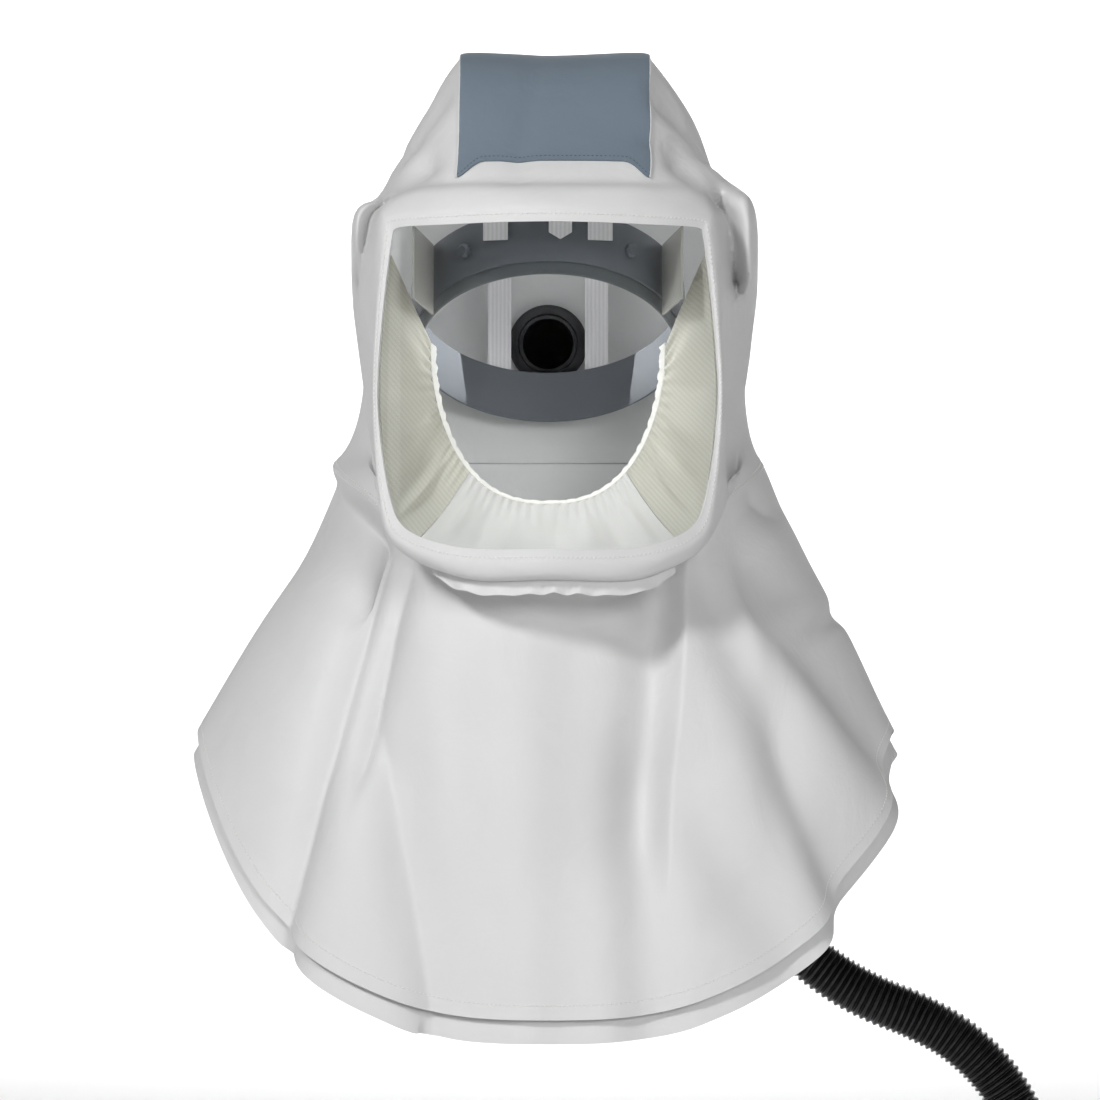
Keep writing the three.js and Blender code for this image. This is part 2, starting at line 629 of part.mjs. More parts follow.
// The inner cape hangs inside the outer one from the same seam and ends below the outer hem.
function innerCape() {
  const vs = [...capeVs, 1 + INNER_EXTRA];
  const grid = foldedGrid(gridOf(capePoint, hoodUs, vs), capeFolds, capeFade);
  const normals = gridNormals(grid, true);
  grid[0] = capeGrid[0];
  const rows = vs.map((v, j) =>
    grid[j].map((p, i) => {
      const gap = mix(FABRIC + CLEAR * 1.5, INNER_GAP, Math.min(v * 1.4, 1));
      return p.clone().addScaledVector(normals[j][i], -capeOut * gap);
    }),
  );
  return wallGeometry(rows, LINING, true, capeOut);
}
add("outer_cape", outerCape(), COLOURS.shell);
add("inner_cape", innerCape(), COLOURS.shell);

// Face seal: twill sides, a mesh chin and a gathered elastic edge that lies against the face
const SEAL_SHARES = { side: 0.4, ends: 0.31 };
const SEAL_INSET = FABRIC + CLEAR * 5 + VISOR_WALL;

// Where the seal meets the face. t runs from -1 at the left temple through 0 under the chin to 1.
function faceEdge(t) {
  const angle = (t * Math.PI) / 2;
  const x = FACE_HALF_WIDTH * Math.sign(t) * Math.abs(Math.sin(angle)) ** 0.8;
  const rise = 1 - Math.cos(angle);
  return vec(x, -mix(FACE_FRONT, FACE_BACK, rise), -mix(FACE_CHIN, FACE_TOP, rise));
}

function windowFoot(t) {
  const edge = outline(0.5 - SEAL_SHARES.ends * t, VISOR_LAP / 3);
  return windowPoint(edge.x, edge.z, SEAL_INSET);
}

function sealPoint(t, s) {
  const p = windowFoot(t).lerp(faceEdge(t), s);
  const slack = Math.sin(Math.PI * s);
  p.y += SEAL_SLACK * slack * 0.6;
  p.z -= SEAL_SLACK * slack * (1 - Math.abs(t)) * 0.4;
  return p;
}

function sealPanel(from, to, columns) {
  const ts = range(columns + 1).map((i) => mix(from, to, i / columns));
  const ss = [0, 0.25, 0.5, 0.75, 1];
  const grid = gridOf(sealPoint, ts, ss);
  return wallGeometry(grid, LINING, false, Math.sign(capeOut));
}

function ruffle() {
  const columns = RUFFLE_WAVES * 2;
  const ts = range(columns + 1).map((i) => mix(-1, 1, i / columns));
  const rows = [0, 1].map((s) =>
    ts.map((t, i) => {
      const edge = faceEdge(t);
      const inward = vec(0, HEAD_HALF_DEPTH * 0.3, (FACE_TOP + FACE_CHIN) * -0.5).sub(edge).normalize();
      const wave = ((i % 2) - 0.5) * 2 * s;
      edge.addScaledVector(inward, CLEAR + LINING * 0.5 + RUFFLE_WIDTH * s * 0.5);
      edge.y += RUFFLE_WIDTH * s * 0.8 + wave * RUFFLE_WALL * 0.6;
      return edge;
    }),
  );
  return wallGeometry(rows, RUFFLE_WALL, false, 1);
}

const sealGap = CLEAR / FACE_HALF_WIDTH;
add("seal_side_left", sealPanel(SEAL_SHARES.side + sealGap, 1, 9), COLOURS.twill);
add("seal_side_right", sealPanel(-1, -SEAL_SHARES.side - sealGap, 9), COLOURS.twill);
add("seal_chin", sealPanel(-SEAL_SHARES.side, SEAL_SHARES.side, 8), COLOURS.mesh);
add("seal_ruffle", ruffle(), COLOURS.frill);

// Head harness. The angle runs round the head from the brow, and up is above the band's lower edge.
function bandPoint(angle, up, out) {
  const tilt = (BAND_TILT * (1 - Math.cos(angle))) / 2;
  const x = (HEAD_HALF_WIDTH + out) * Math.sin(angle);
  const y = -(HEAD_HALF_DEPTH + out) * Math.cos(angle);
  return vec(x, y, up - BAND_DROP - tilt);
}

function bandStrip(angles, from, to, inner, outer, closed) {
  const layer = (out) => [from, to].map((up) => angles.map((angle) => bandPoint(angle, up, out)));
  return ringsGeometry([...layer(outer), ...layer(inner).reverse()], closed);
}

function headband() {
  const angles = range(40).map((i) => (i * TAU) / 40);
  return bandStrip(angles, 0, BAND_HEIGHT, 0, BAND_WALL, true);
}

function sweatband() {
  const angles = range(25).map((i) => mix(-SWEATBAND_ANGLE, SWEATBAND_ANGLE, i / 24));
  const high = SWEATBAND_HEIGHT - SWEATBAND_SHOWS;
  return bandStrip(angles, -SWEATBAND_SHOWS, high, -CLEAR - SWEATBAND_WALL, -CLEAR, false);
}

function stud(side) {
  const profile = [
    [0, 0],
    [STUD_RADIUS, 0],
    [STUD_RADIUS, STUD_HEIGHT * 0.6],
    [STUD_RADIUS * 0.7, STUD_HEIGHT],
    [0, STUD_HEIGHT],
  ];
  const angle = side * STUD_ANGLE;
  const seat = bandPoint(angle, BAND_HEIGHT * 0.5, BAND_WALL + CLEAR * 1.3);
  const out = vec(Math.sin(angle) / HEAD_HALF_WIDTH, -Math.cos(angle) / HEAD_HALF_DEPTH, 0).normalize();
  const turn = new THREE.Quaternion().setFromUnitVectors(vec(0, 1, 0), out);
  return turned(profile, 10).applyQuaternion(turn).translate(seat.x, seat.y, seat.z);
}

// The strap's inner face at x, where it has swung over the head by an angle from the front and hangs straight
// down by a drop before or behind it.
const strapFoot = BAND_DROP - BAND_HEIGHT - CLEAR;
function strapPoint(x, swing, drop, out) {
  const across = Math.min(1, Math.abs(x) / (HEAD_HALF_WIDTH + BAND_WALL));
  const reach = (HEAD_HALF_DEPTH + BAND_WALL + CLEAR * 1.5 + out) * Math.sqrt(1 - across ** 2);
  return vec(x, -reach * Math.cos(swing), -strapFoot + (strapFoot + out) * Math.sin(swing) - drop);
}

function crownStrap(side) {
  const xs = [-0.5, 0, 0.5].map((w) => side * STRAP_OFFSET + w * STRAP_WIDTH);
  const over = range(13).map((i) => [(i * Math.PI) / 12, 0]);
  const backDrop = BAND_TILT + BAND_HEIGHT * 0.5;
  const ways = [[0, STRAP_HANG], ...over, [Math.PI, backDrop]];
  const layer = (out) => ways.map(([swing, drop]) => xs.map((x) => strapPoint(x, swing, drop, out)));
  return ringsGeometry([...layer(STRAP_WALL), ...layer(0).reverse()], false);
}

function bandTab() {
  const half = TAB_WIDTH / 2;
  const corners = [
    [-half, 0],
    [half, 0],
    [half, -TAB_LENGTH],
    [0, -TAB_LENGTH - half * 0.6],
    [-half, -TAB_LENGTH],
  ];
  const shape = new THREE.Shape(corners.map(([x, z]) => new THREE.Vector2(x, z)));
  const plate = new THREE.ExtrudeGeometry(shape, { depth: STRAP_WALL, bevelEnabled: false });
  const seat = bandPoint(Math.asin(TAB_OFFSET / HEAD_HALF_WIDTH), BAND_HEIGHT, BAND_WALL + CLEAR * 2);
  return faceOut(welded(bareCopy(plate).rotateX(Math.PI / 2).translate(TAB_OFFSET, seat.y, seat.z + half)));
}

// A lug is a thin clear plate from the side of the band to the window's upper corner.
function lug(side) {
  const foot = (up) => bandPoint(side * LUG_ANGLE, up, BAND_WALL + CLEAR);
  const tipX = windowHalf * LUG_REACH;
  const tipY = windowY(tipX, -WINDOW_TOP) + SEAL_INSET + CLEAR * 4;
  const tip = (up) => vec(side * tipX, tipY, up - BAND_DROP - LUG_WIDTH * 0.3);
  const rows = [0, 0.33, 0.67, 1].map((share) => [
    foot(BAND_HEIGHT).lerp(tip(BAND_HEIGHT), share),
    foot(BAND_HEIGHT - LUG_WIDTH).lerp(tip(BAND_HEIGHT - LUG_WIDTH), share),
  ]);
  const other = rows.map((row) => row.map((p) => vec(p.x + side * LUG_WALL, p.y, p.z)));
  return ringsGeometry([...rows, ...other.reverse()], false);
}

add("headband", headband(), COLOURS.band, { roughness: 0.4 });
add("sweatband", sweatband(), COLOURS.sweatband, { roughness: 0.9 });
for (const [name, side] of [["left", 1], ["right", -1]]) {
  add(`band_stud_${name}`, stud(side), COLOURS.band, { roughness: 0.35 });
  add(`crown_strap_${name}`, crownStrap(side), COLOURS.webbing, { roughness: 0.85 });
  add(`window_lug_${name}`, lug(side), COLOURS.lug, { roughness: 0.3, opacity: 0.6 });
}
add("band_tab", bandTab(), COLOURS.webbing, { roughness: 0.8 });

// Hose port: a flanged collar through the hood's back, a ring nut inside it and an elbow outside
function portCollar() {
  const flangeSeat = CLEAR * 2;
  const tail = -FABRIC - CLEAR - NUT_HEIGHT - PORT_SLACK;
  return atPort(
    turned([
      [PORT_RADIUS - PORT_WALL, tail],
      [PORT_RADIUS, tail],
      [PORT_RADIUS, flangeSeat],
      [PORT_FLANGE_RADIUS, flangeSeat],
      [PORT_FLANGE_RADIUS, flangeSeat + PORT_FLANGE],
      [PORT_RADIUS - PORT_WALL, flangeSeat + PORT_FLANGE],
    ]),
  );
}

function portNut() {
  const top = -FABRIC - PORT_SLACK;
  return atPort(
    turned([
      [PORT_RADIUS + CLEAR, top - NUT_HEIGHT],
      [NUT_RADIUS, top - NUT_HEIGHT],
      [NUT_RADIUS, top],
      [PORT_RADIUS + CLEAR, top],
    ]),
  );
}

const elbowStart = vec(0, portY + PORT_FLANGE + CLEAR * 3, -PORT_DROP);
const elbowEnd = elbowStart.clone().add(vec(0, ELBOW_BEND + PORT_RADIUS * 0.3, -ELBOW_BEND - PORT_RADIUS * 0.6));
function elbow() {
  const bend = elbowStart.clone().add(vec(0, PORT_RADIUS * 0.3, 0));
  const corner = vec(0, elbowEnd.y, -PORT_DROP);
  const low = vec(0, elbowEnd.y, -PORT_DROP - ELBOW_BEND);
  const curve = (past) => {
    const path = new THREE.CurvePath();
    path.add(new THREE.LineCurve3(elbowStart.clone().add(vec(0, -past, 0)), bend));
    path.add(new THREE.CubicBezierCurve3(bend, bend.clone().lerp(corner, 0.55), low.clone().lerp(corner, 0.55), low));
    path.add(new THREE.LineCurve3(low, elbowEnd.clone().add(vec(0, 0, -past))));
    return path;
  };
  return cut(rod(curve(0), PORT_RADIUS, 9, 14), rod(curve(PORT_WALL), PORT_RADIUS - PORT_WALL, 9, 14));
}

const cuffFoot = elbowEnd.z - CLEAR - CUFF_LENGTH;
function cuff() {
  const made = turned([
    [0, 0],
    [HOSE_DIAMETER / 2, 0],
    [CUFF_RADIUS, CUFF_LENGTH * 0.5],
    [CUFF_RADIUS, CUFF_LENGTH],
    [0, CUFF_LENGTH],
  ]);
  return made.rotateX(Math.PI / 2).translate(0, elbowEnd.y, cuffFoot);
}

// The hose's route from the foot of its cuff to the plug: down behind the capes, out past the wearer's left side
// and down.
const HOSE_ROUTE = [
  [0, 0, -0.1],
  [0, 0, -22],
  [3, 3, -48],
  [10, 9, -78],
  [22, 16, -108],
  [39, 21.5, -142],
  [60, 25, -178],
  [85, 26, -216],
  [112, 26, -255],
  [137, 25, -285],
  [163, 23, -309],
  [185, 21, -325],
  [206, 19, -336],
  [230, 18, -346],
  [255, 16, -360],
  [277, 14, -380],
  [294, 12, -406],
  [304, 11, -436],
  [308, 10, -468],
  [309, 10, -504],
  [309, 10, -541],
  [309, 10, -581],
].map(([x, y, z]) => [x, y + elbowEnd.y, z + cuffFoot]);
function hose() {
  const curve = new THREE.CatmullRomCurve3(HOSE_ROUTE.map((p) => vec(...p)), false, "centripetal");
  return rod(curve, HOSE_DIAMETER / 2, 40, 8);
}

// The plug's bore ends blind inside it. Its rim is the flat face that seats in a blower's outlet.
function plug() {
  const [x, y, z] = HOSE_ROUTE[HOSE_ROUTE.length - 1];
  const made = turned([
    [0, -PLUG_BORE],
    [PLUG_BORE, -PLUG_BORE],
    [PLUG_BORE, -PLUG_LENGTH],
    [PLUG_RADIUS - 1, -PLUG_LENGTH],
    [PLUG_RADIUS - 1, -PLUG_LENGTH * 0.55],
    [PLUG_RADIUS + 2, -PLUG_LENGTH * 0.55],
    [PLUG_RADIUS + 2, -PLUG_LENGTH * 0.4],
    [PLUG_RADIUS, -PLUG_LENGTH * 0.4],
    [PLUG_RADIUS, -2],
    [PLUG_RADIUS - 2, 0],
    [0, 0],
  ]);
  return made.rotateX(Math.PI / 2).translate(x, y, z - CLEAR);
}

add("port_collar", portCollar(), COLOURS.port, { roughness: 0.4 });
add("port_nut", portNut(), COLOURS.port, { roughness: 0.4 });
add("port_elbow", elbow(), COLOURS.port, { roughness: 0.35 });
add("hose_cuff", cuff(), COLOURS.rubber, { roughness: 0.3 });
add("hose", hose(), COLOURS.rubber, { roughness: 0.2 });
add("hose_plug", plug(), COLOURS.port, { roughness: 0.35 });

export default part;
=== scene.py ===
"""Respirator hood: visual pieces, materials, light and camera, in metres in the row frame.

Lengths below are in millimetres until a mesh is made. +X is the wearer's left, the window faces -Y.
"""

import math

import bmesh
import bpy
import numpy as np
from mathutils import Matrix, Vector


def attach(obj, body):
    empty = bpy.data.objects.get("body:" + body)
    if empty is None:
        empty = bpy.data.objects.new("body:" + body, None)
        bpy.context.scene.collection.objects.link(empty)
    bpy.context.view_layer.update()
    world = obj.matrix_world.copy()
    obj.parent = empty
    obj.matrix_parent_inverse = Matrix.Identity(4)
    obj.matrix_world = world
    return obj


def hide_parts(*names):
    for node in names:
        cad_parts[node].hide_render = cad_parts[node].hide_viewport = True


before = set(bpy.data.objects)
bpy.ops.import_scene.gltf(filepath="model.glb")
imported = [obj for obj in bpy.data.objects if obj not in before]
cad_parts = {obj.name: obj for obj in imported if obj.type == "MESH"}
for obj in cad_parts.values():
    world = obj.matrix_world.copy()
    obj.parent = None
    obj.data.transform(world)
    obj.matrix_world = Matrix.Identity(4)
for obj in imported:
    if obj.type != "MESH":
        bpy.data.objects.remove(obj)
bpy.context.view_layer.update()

MM = 0.001
TAU = 2 * math.pi
TINY = 1e-9

# Sizes, as in the CAD model
CROWN_RISE = 21
SEAM_DROP = 205
HOOD_HALF_WIDTH = 115
HOOD_FRONT = 150
HOOD_BACK = 113
HOOD_LEAN = 4
CROWN_PANEL_WIDTH = 107
WINDOW_WIDTH = 190
WINDOW_TOP = 77.5
WINDOW_HEIGHT = 180
WINDOW_TILT = 14
WINDOW_BOW = 38
BORDER = 9
VISOR_WALL = 1
VISOR_LAP = 6.5
FABRIC = 1.2
LINING = 1
CLEAR = 0.3
CAPE_HALF_WIDTH = 208
CAPE_FRONT = 152
CAPE_BACK = 166
CAPE_FRONT_DROP = 516
CAPE_SIDE_DROP = 362
CAPE_BACK_DROP = 500
INNER_LONGER = 13
INNER_GAP = 5
FRILL_HALF_WIDTH = 66
FRILL_DROP = 8
FRILL_WAVES = 9
FRILL_DEPTH = 1.6
HEAD_HALF_WIDTH = 78
HEAD_HALF_DEPTH = 97
BAND_DROP = 96
BAND_TILT = 84
BAND_HEIGHT = 30
BAND_WALL = 2
SWEATBAND_HEIGHT = 18
SWEATBAND_WALL = 3
SWEATBAND_SHOWS = 7
SWEATBAND_ANGLE = 1.25
FACE_HALF_WIDTH = 68
FACE_TOP = 138
FACE_CHIN = 232
FACE_BACK = 38
FACE_FRONT = 76
RUFFLE_WIDTH = 9
RUFFLE_WALL = 1.6
SEAL_SLACK = 10
SEAL_SHARE = 0.4
SEAL_ENDS = 0.31
PORT_DROP = 132
PORT_RADIUS = 18
PORT_WALL = 2.5
PORT_FLANGE_RADIUS = 27
PORT_FLANGE = 3
PORT_SLACK = 2.5
PORT_Y = 116.645  # face of the hood's back at the port
NUT_RADIUS = 24
NUT_HEIGHT = 6
ELBOW_BEND = 27
ELBOW_STRAIGHT = 0.6
CUFF_RADIUS = 19
CUFF_LENGTH = 34
HOSE_DIAMETER = 31
RIB_PITCH = 4.2
RIB_DEPTH = 1.9

# Sizes of what only this script shows
PANEL_FRONT = 0.424  # this and the next two are shares of the way from the window to the neck seam
PANEL_CORNER = 0.045
PANEL_BACK = 0.78
PANEL_LIFT = CLEAR + LINING
PIPING_RADIUS = 0.7
STITCH_RISE = 0.3
HEM_STITCH = dict(pitch=2.6, length=2.0)
PANEL_STITCH = dict(pitch=2.4, length=1.6, radius=0.28)
HOOD_STITCH_RADIUS = 0.38
CAPE_STITCH_RADIUS = 0.32
FRILL_SEAT = 0.4  # share of the way from the window to the neck seam
FRILL_SPREAD = 0.19  # share of the way round that half of the hood is wide under the chin
CAPE_LAYERS_CLEAR = 0.45
PLEAT_GATHER = 0.7
HARD_EDGE = 0.9  # radians between two faces that meet in a crisp rim
CREASE_SOFT = 0.08  # share of a crease's width that its bottom is rounded over
EDGE_RISE = 0.35  # share of an edge's width in which it sinks
EDGE_DEEPER = 2.2
MOULD_EDGE = 0.8

# How finely the pieces are divided
PANEL_ROWS = 40
PIPING_SIDES = 8
VISOR_COLUMNS = 144
VISOR_ROWS = 24
FRILL_ROWS = 7
COLUMNS_PER_WAVE = 24
SEAL_COLUMNS = 160
SEAL_ROWS = 40
RUFFLE_COLUMNS = 700
RUFFLE_ROWS = 12
BAND_COLUMNS = 160
PAD_COLUMNS = 120
ELBOW_ROWS = 30

# Curves and grids


def smooth(x, low, high):
    t = np.clip((np.asarray(x, float) - low) / (high - low), 0, 1)
    return t * t * (3 - 2 * t)


def bell(distance, width):
    return np.exp(-((np.asarray(distance, float) / width) ** 2))


def hermite(a, b, c, d, t, ease_b=0.0, ease_c=0.0):
    """Cubic from b at t = 0 to c at t = 1. The eases shorten the tangents there, and 1 leaves a corner."""
    tb = (c - a) / 2 * (1 - ease_b)
    tc = (d - b) / 2 * (1 - ease_c)
    t2 = t * t
    t3 = t2 * t
    return b * (2 * t3 - 3 * t2 + 1) + tb * (t3 - 2 * t2 + t) + c * (3 * t2 - 2 * t3) + tc * (t3 - t2)


def through(values, ts):
    """The values along the first axis, joined by a cubic and read at ts from 0 to 1."""
    values = np.asarray(values, float)
    last = len(values) - 1
    at = np.clip(np.asarray(ts, float), 0, 1) * last
    i = np.minimum(at.astype(int), last - 1)
    padded = np.concatenate([[2 * values[0] - values[1]], values, [2 * values[-1] - values[-2]]])
    t = (at - i).reshape((-1,) + (1,) * (values.ndim - 1))
    return hermite(padded[i], padded[i + 1], padded[i + 2], padded[i + 3], t)


def round_rings(points, sharp, us):
    """points is (rows, n, 3): the closed curve of each row, read at us from 0 to 1."""
    n = points.shape[1]
    at = (np.asarray(us, float) % 1) * n
    i = at.astype(int) % n
    t = (at - np.floor(at))[None, :, None]
    a, b, c, d = (points[:, (i + k) % n] for k in (-1, 0, 1, 2))
    return hermite(a, b, c, d, t, sharp[:, i][..., None], sharp[:, (i + 1) % n][..., None])


def mirrored(right):
    """A whole ring from its right half. Both ends lie on the middle line."""
    left = right[1:-1][::-1] * np.array([-1, 1, 1])
    return np.concatenate([right, left])


def normals_of(grid, closed=True):
    """Unit normals of a (rows, columns, 3) grid that point away from its own middle line."""
    du = np.roll(grid, -1, 1) - np.roll(grid, 1, 1) if closed else np.gradient(grid, axis=1)
    dv = np.gradient(grid, axis=0)
    n = np.cross(du, dv)
    n /= np.maximum(np.linalg.norm(n, axis=2, keepdims=True), TINY)
    if closed:
        out = grid - grid.mean(axis=1, keepdims=True)
        n *= np.sign((out * n).sum())
    return n


# Window surface
window_half = WINDOW_WIDTH / 2


def window_y(x, z):
    """How far forward the window's surface lies: bowed across and tilted from top to chin."""
    down = (-WINDOW_TOP - z) / WINDOW_HEIGHT
    return -HOOD_FRONT - WINDOW_TILT * down + WINDOW_BOW * (x / window_half) ** 2


def window_points(x, z, inset):
    """Points an inset behind the window's surface."""
    slope = 2 * WINDOW_BOW * x / window_half**2
    out = np.stack([slope, -np.ones_like(x), np.full_like(x, WINDOW_TILT / WINDOW_HEIGHT)], -1)
    out /= np.linalg.norm(out, axis=-1, keepdims=True)
    return np.stack([x, window_y(x, z), z], -1) - out * inset


# Rings of the hood, as in the CAD model: seven lines from the top of the window round to the throat.
LINES = ["top", "crown", "shoulder", "cheek", "jaw", "chin", "throat"]
WINDOW_RING = {
    "top": (0, 1), "crown": (0.56, 0.996), "shoulder": (0.905, 0.985), "cheek": (1, 0.48),
    "jaw": (0.885, 0.1), "chin": (0.56, 0.01), "throat": (0, 0),
}
BORDER_UP = {"top": 1, "crown": 1, "shoulder": 0.95, "cheek": 0, "jaw": -0.75, "chin": -0.95, "throat": -1}
HOOD_RINGS = [
    dict(lean=0.3, crown_edge=0.2, shoulder_edge=0.1,
         top=(0, -0.935, 0.655), crown=(1.03, -0.853, 0.66), shoulder=(0.915, -0.59, 0.625),
         cheek=(0.842, -0.63, 0.13), jaw=(0.795, -0.76, -0.185), chin=(0.478, -0.975, -0.292),
         throat=(0, -1.07, -0.3)),
    dict(lean=0.9, crown_edge=0.7, shoulder_edge=0,
         top=(0, -0.8, 0.727), crown=(1, -0.757, 0.723), shoulder=(0.983, -0.4, 0.63),
         cheek=(0.846, -0.47, 0.1), jaw=(0.805, -0.66, -0.165), chin=(0.46, -0.92, -0.298),
         throat=(0, -1.005, -0.306)),
    dict(lean=1, crown_edge=0.85, shoulder_edge=0,
         top=(0, -0.44, 0.992), crown=(1, -0.42, 1), shoulder=(1.005, -0.17, 0.59),
         cheek=(0.862, -0.3, 0.066), jaw=(0.825, -0.575, -0.135), chin=(0.45, -0.865, -0.291),
         throat=(0, -0.94, -0.3)),
    dict(lean=1, crown_edge=0.8, shoulder_edge=0,
         top=(0, 0.44, 0.995), crown=(1, 0.42, 0.985), shoulder=(1.005, 0.2, 0.535),
         cheek=(0.915, -0.147, 0.035), jaw=(0.845, -0.507, -0.1), chin=(0.44, -0.82, -0.28),
         throat=(0, -0.887, -0.287)),
    dict(lean=1, crown_edge=0.4, shoulder_edge=0,
         top=(0, 1, 0.66), crown=(0.925, 0.93, 0.66), shoulder=(0.93, 0.45, 0.36),
         cheek=(0.96, -0.053, 0.05), jaw=(0.863, -0.447, -0.066), chin=(0.43, -0.77, -0.262),
         throat=(0, -0.84, -0.272)),
    dict(lean=0, crown_edge=0, shoulder_edge=0,
         top=(0, 1, 0), crown=(0.86, 0.93, 0), shoulder=(0.87, 0.53, 0),
         cheek=(1.09, 0.035, -0.006), jaw=(0.915, -0.4, -0.085), chin=(0.45, -0.7, -0.235),
         throat=(0, -0.793, -0.262)),
]
RING_COUNT = len(HOOD_RINGS) + 2
RING_STEP = 1 / (RING_COUNT - 1)
hood_height = CROWN_RISE + SEAM_DROP


def window_ring(grow):
    """The window's edge, or with grow the border's outer edge."""
    points = []
    for line in LINES:
        x, z = WINDOW_RING[line]
        side = 0.3 if line == "cheek" else 0.66
        px = x * window_half + (grow * side * min(1, x * 1.1) if x else 0)
        pz = -WINDOW_TOP - WINDOW_HEIGHT * (1 - z) + grow * BORDER_UP[line]
        points.append((px, window_y(px, pz), pz))
    return np.array(points, float)


def hood_ring(row):
    points = []
    for line in LINES:
        x, y, z = row[line]
        half = CROWN_PANEL_WIDTH / 2 if line == "crown" else HOOD_HALF_WIDTH
        reach = HOOD_FRONT if y < 0 else HOOD_BACK
        points.append((x * half, y * reach, z * hood_height - SEAM_DROP))
    return np.array(points, float)


def sharpness(crown, shoulder, jaw):
    right = np.array([0, crown, shoulder, 0, jaw, 0, 0], float)
    return np.concatenate([right, right[1:-1][::-1]])


right_rings = [window_ring(0), window_ring(BORDER)] + [hood_ring(row) for row in HOOD_RINGS]
leans = [0, 0] + [row["lean"] for row in HOOD_RINGS]
hood_controls = np.array([mirrored(ring) for ring in right_rings])
hood_controls[:, :, 0] += (np.array(leans) * HOOD_LEAN)[:, None]
hood_sharp = np.array(
    [sharpness(0, 0.8, 0.35)] * 2 + [sharpness(r["crown_edge"], r["shoulder_edge"], 0) for r in HOOD_RINGS]
)


def hood_grid(us, vs):
    return round_rings(through(hood_controls, vs), through(hood_sharp, vs), us)


CAPE_RINGS = [
    dict(top=(0, 0.79, 0.34), crown=(0.27, 0.75, 0.34), shoulder=(0.61, 0.46, 0.33), cheek=(0.722, 0.03, 0.34),
         jaw=(0.6, -0.545, 0.29), chin=(0.33, -0.79, 0.42), throat=(0, -0.855, 0.45)),
    dict(top=(0, 0.9, 0.68), crown=(0.31, 0.85, 0.68), shoulder=(0.72, 0.52, 0.67), cheek=(0.864, 0.03, 0.67),
         jaw=(0.72, -0.64, 0.62), chin=(0.38, -0.875, 0.71), throat=(0, -0.94, 0.73)),
    dict(top=(0, 1, 1), crown=(0.36, 0.93, 1), shoulder=(0.82, 0.56, 1), cheek=(1, 0.03, 1),
         jaw=(0.81, -0.7, 1), chin=(0.42, -0.94, 1), throat=(0, -1, 1)),
]


def between(low, high, share):
    return low + (high - low) * share


HEM_DROPS = dict(
    top=CAPE_BACK_DROP,
    crown=between(CAPE_SIDE_DROP, CAPE_BACK_DROP, 0.95),
    shoulder=between(CAPE_SIDE_DROP, CAPE_BACK_DROP, 0.42),
    cheek=CAPE_SIDE_DROP,
    jaw=between(CAPE_SIDE_DROP, CAPE_FRONT_DROP, 0.6),
    chin=between(CAPE_SIDE_DROP, CAPE_FRONT_DROP, 0.93),
    throat=CAPE_FRONT_DROP,
)


def cape_ring(row):
    points = []
    for line in LINES:
        x, y, z = row[line]
        reach = CAPE_FRONT if y < 0 else CAPE_BACK
        points.append((x * CAPE_HALF_WIDTH, y * reach, -between(SEAM_DROP, HEM_DROPS[line], z)))
    return np.array(points, float)


cape_controls = np.array([mirrored(right_rings[-1])] + [mirrored(cape_ring(row)) for row in CAPE_RINGS])


def cape_grid(us, vs):
    vs = np.asarray(vs, float)
    sharp = np.zeros((len(vs), cape_controls.shape[1]))
    grid = round_rings(through(cape_controls, np.minimum(vs, 1)), sharp, us)
    past = vs > 1
    if past.any():
        hem = round_rings(through(cape_controls, [1.0]), sharp[:1], us)
        back = round_rings(through(cape_controls, 2 - vs[past]), sharp[past], us)
        grid[past] = 2 * hem - back
    return grid


# Folds, seen from the front. Each runs from start to stop, which are (x, z) in shares of the hood's half width
# and of the height below the crown (hood) or below the neck seam (cape). width and depth are shares of that
# height. A valley is round. A crease is sharp at its bottom, and steeper away from the side that it names. An
# edge sinks only on that side. push moves the cloth straight back, and end is how softly a fold runs out.


def fold(start, stop, width, depth, kind="valley", side=0, steep=1.0, push=False, end=1.6):
    return dict(
        start=start, stop=stop, width=width, depth=depth, kind=kind, side=side, steep=steep, push=push, end=end
    )


HOOD_FOLDS = [
    fold((-0.86, 0.345), (-0.93, 0.55), 0.02, -0.1, push=True, end=2),
    fold((-0.99, 0.38), (-1, 0.6), 0.03, 0.07, push=True, end=2),
    fold((-0.95, 0.6), (-0.93, 0.74), 0.02, -0.05, push=True, end=2),
    fold((-0.62, 0.28), (-0.86, 0.345), 0.035, -0.03, end=1.2),
    fold((0.87, 0.36), (0.93, 0.55), 0.022, -0.11, push=True, end=2),
    fold((0.93, 0.55), (1, 0.66), 0.02, -0.06, push=True, end=2),
    fold((1, 0.36), (1.01, 0.56), 0.03, 0.08, push=True, end=2),
    fold((0.66, 0.27), (0.88, 0.35), 0.035, -0.028, end=1.2),
    fold((-0.5, 0.325), (0.52, 0.325), 0.018, -0.01, end=6),
    fold((0.6, 0.12), (0.92, 0.26), 0.03, -0.032, end=2),
    fold((0.52, 0.22), (0.8, 0.24), 0.02, -0.012, end=2),
    fold((-0.58, 0.12), (-0.85, 0.28), 0.035, -0.03, end=2),
    fold((-0.52, 0.2), (-0.74, 0.22), 0.02, -0.008, end=2),
    fold((-0.06, 0.06), (-0.14, 0.27), 0.03, -0.007, end=2),
    fold((0.93, 0.66), (0.9, 0.84), 0.04, -0.02),
]
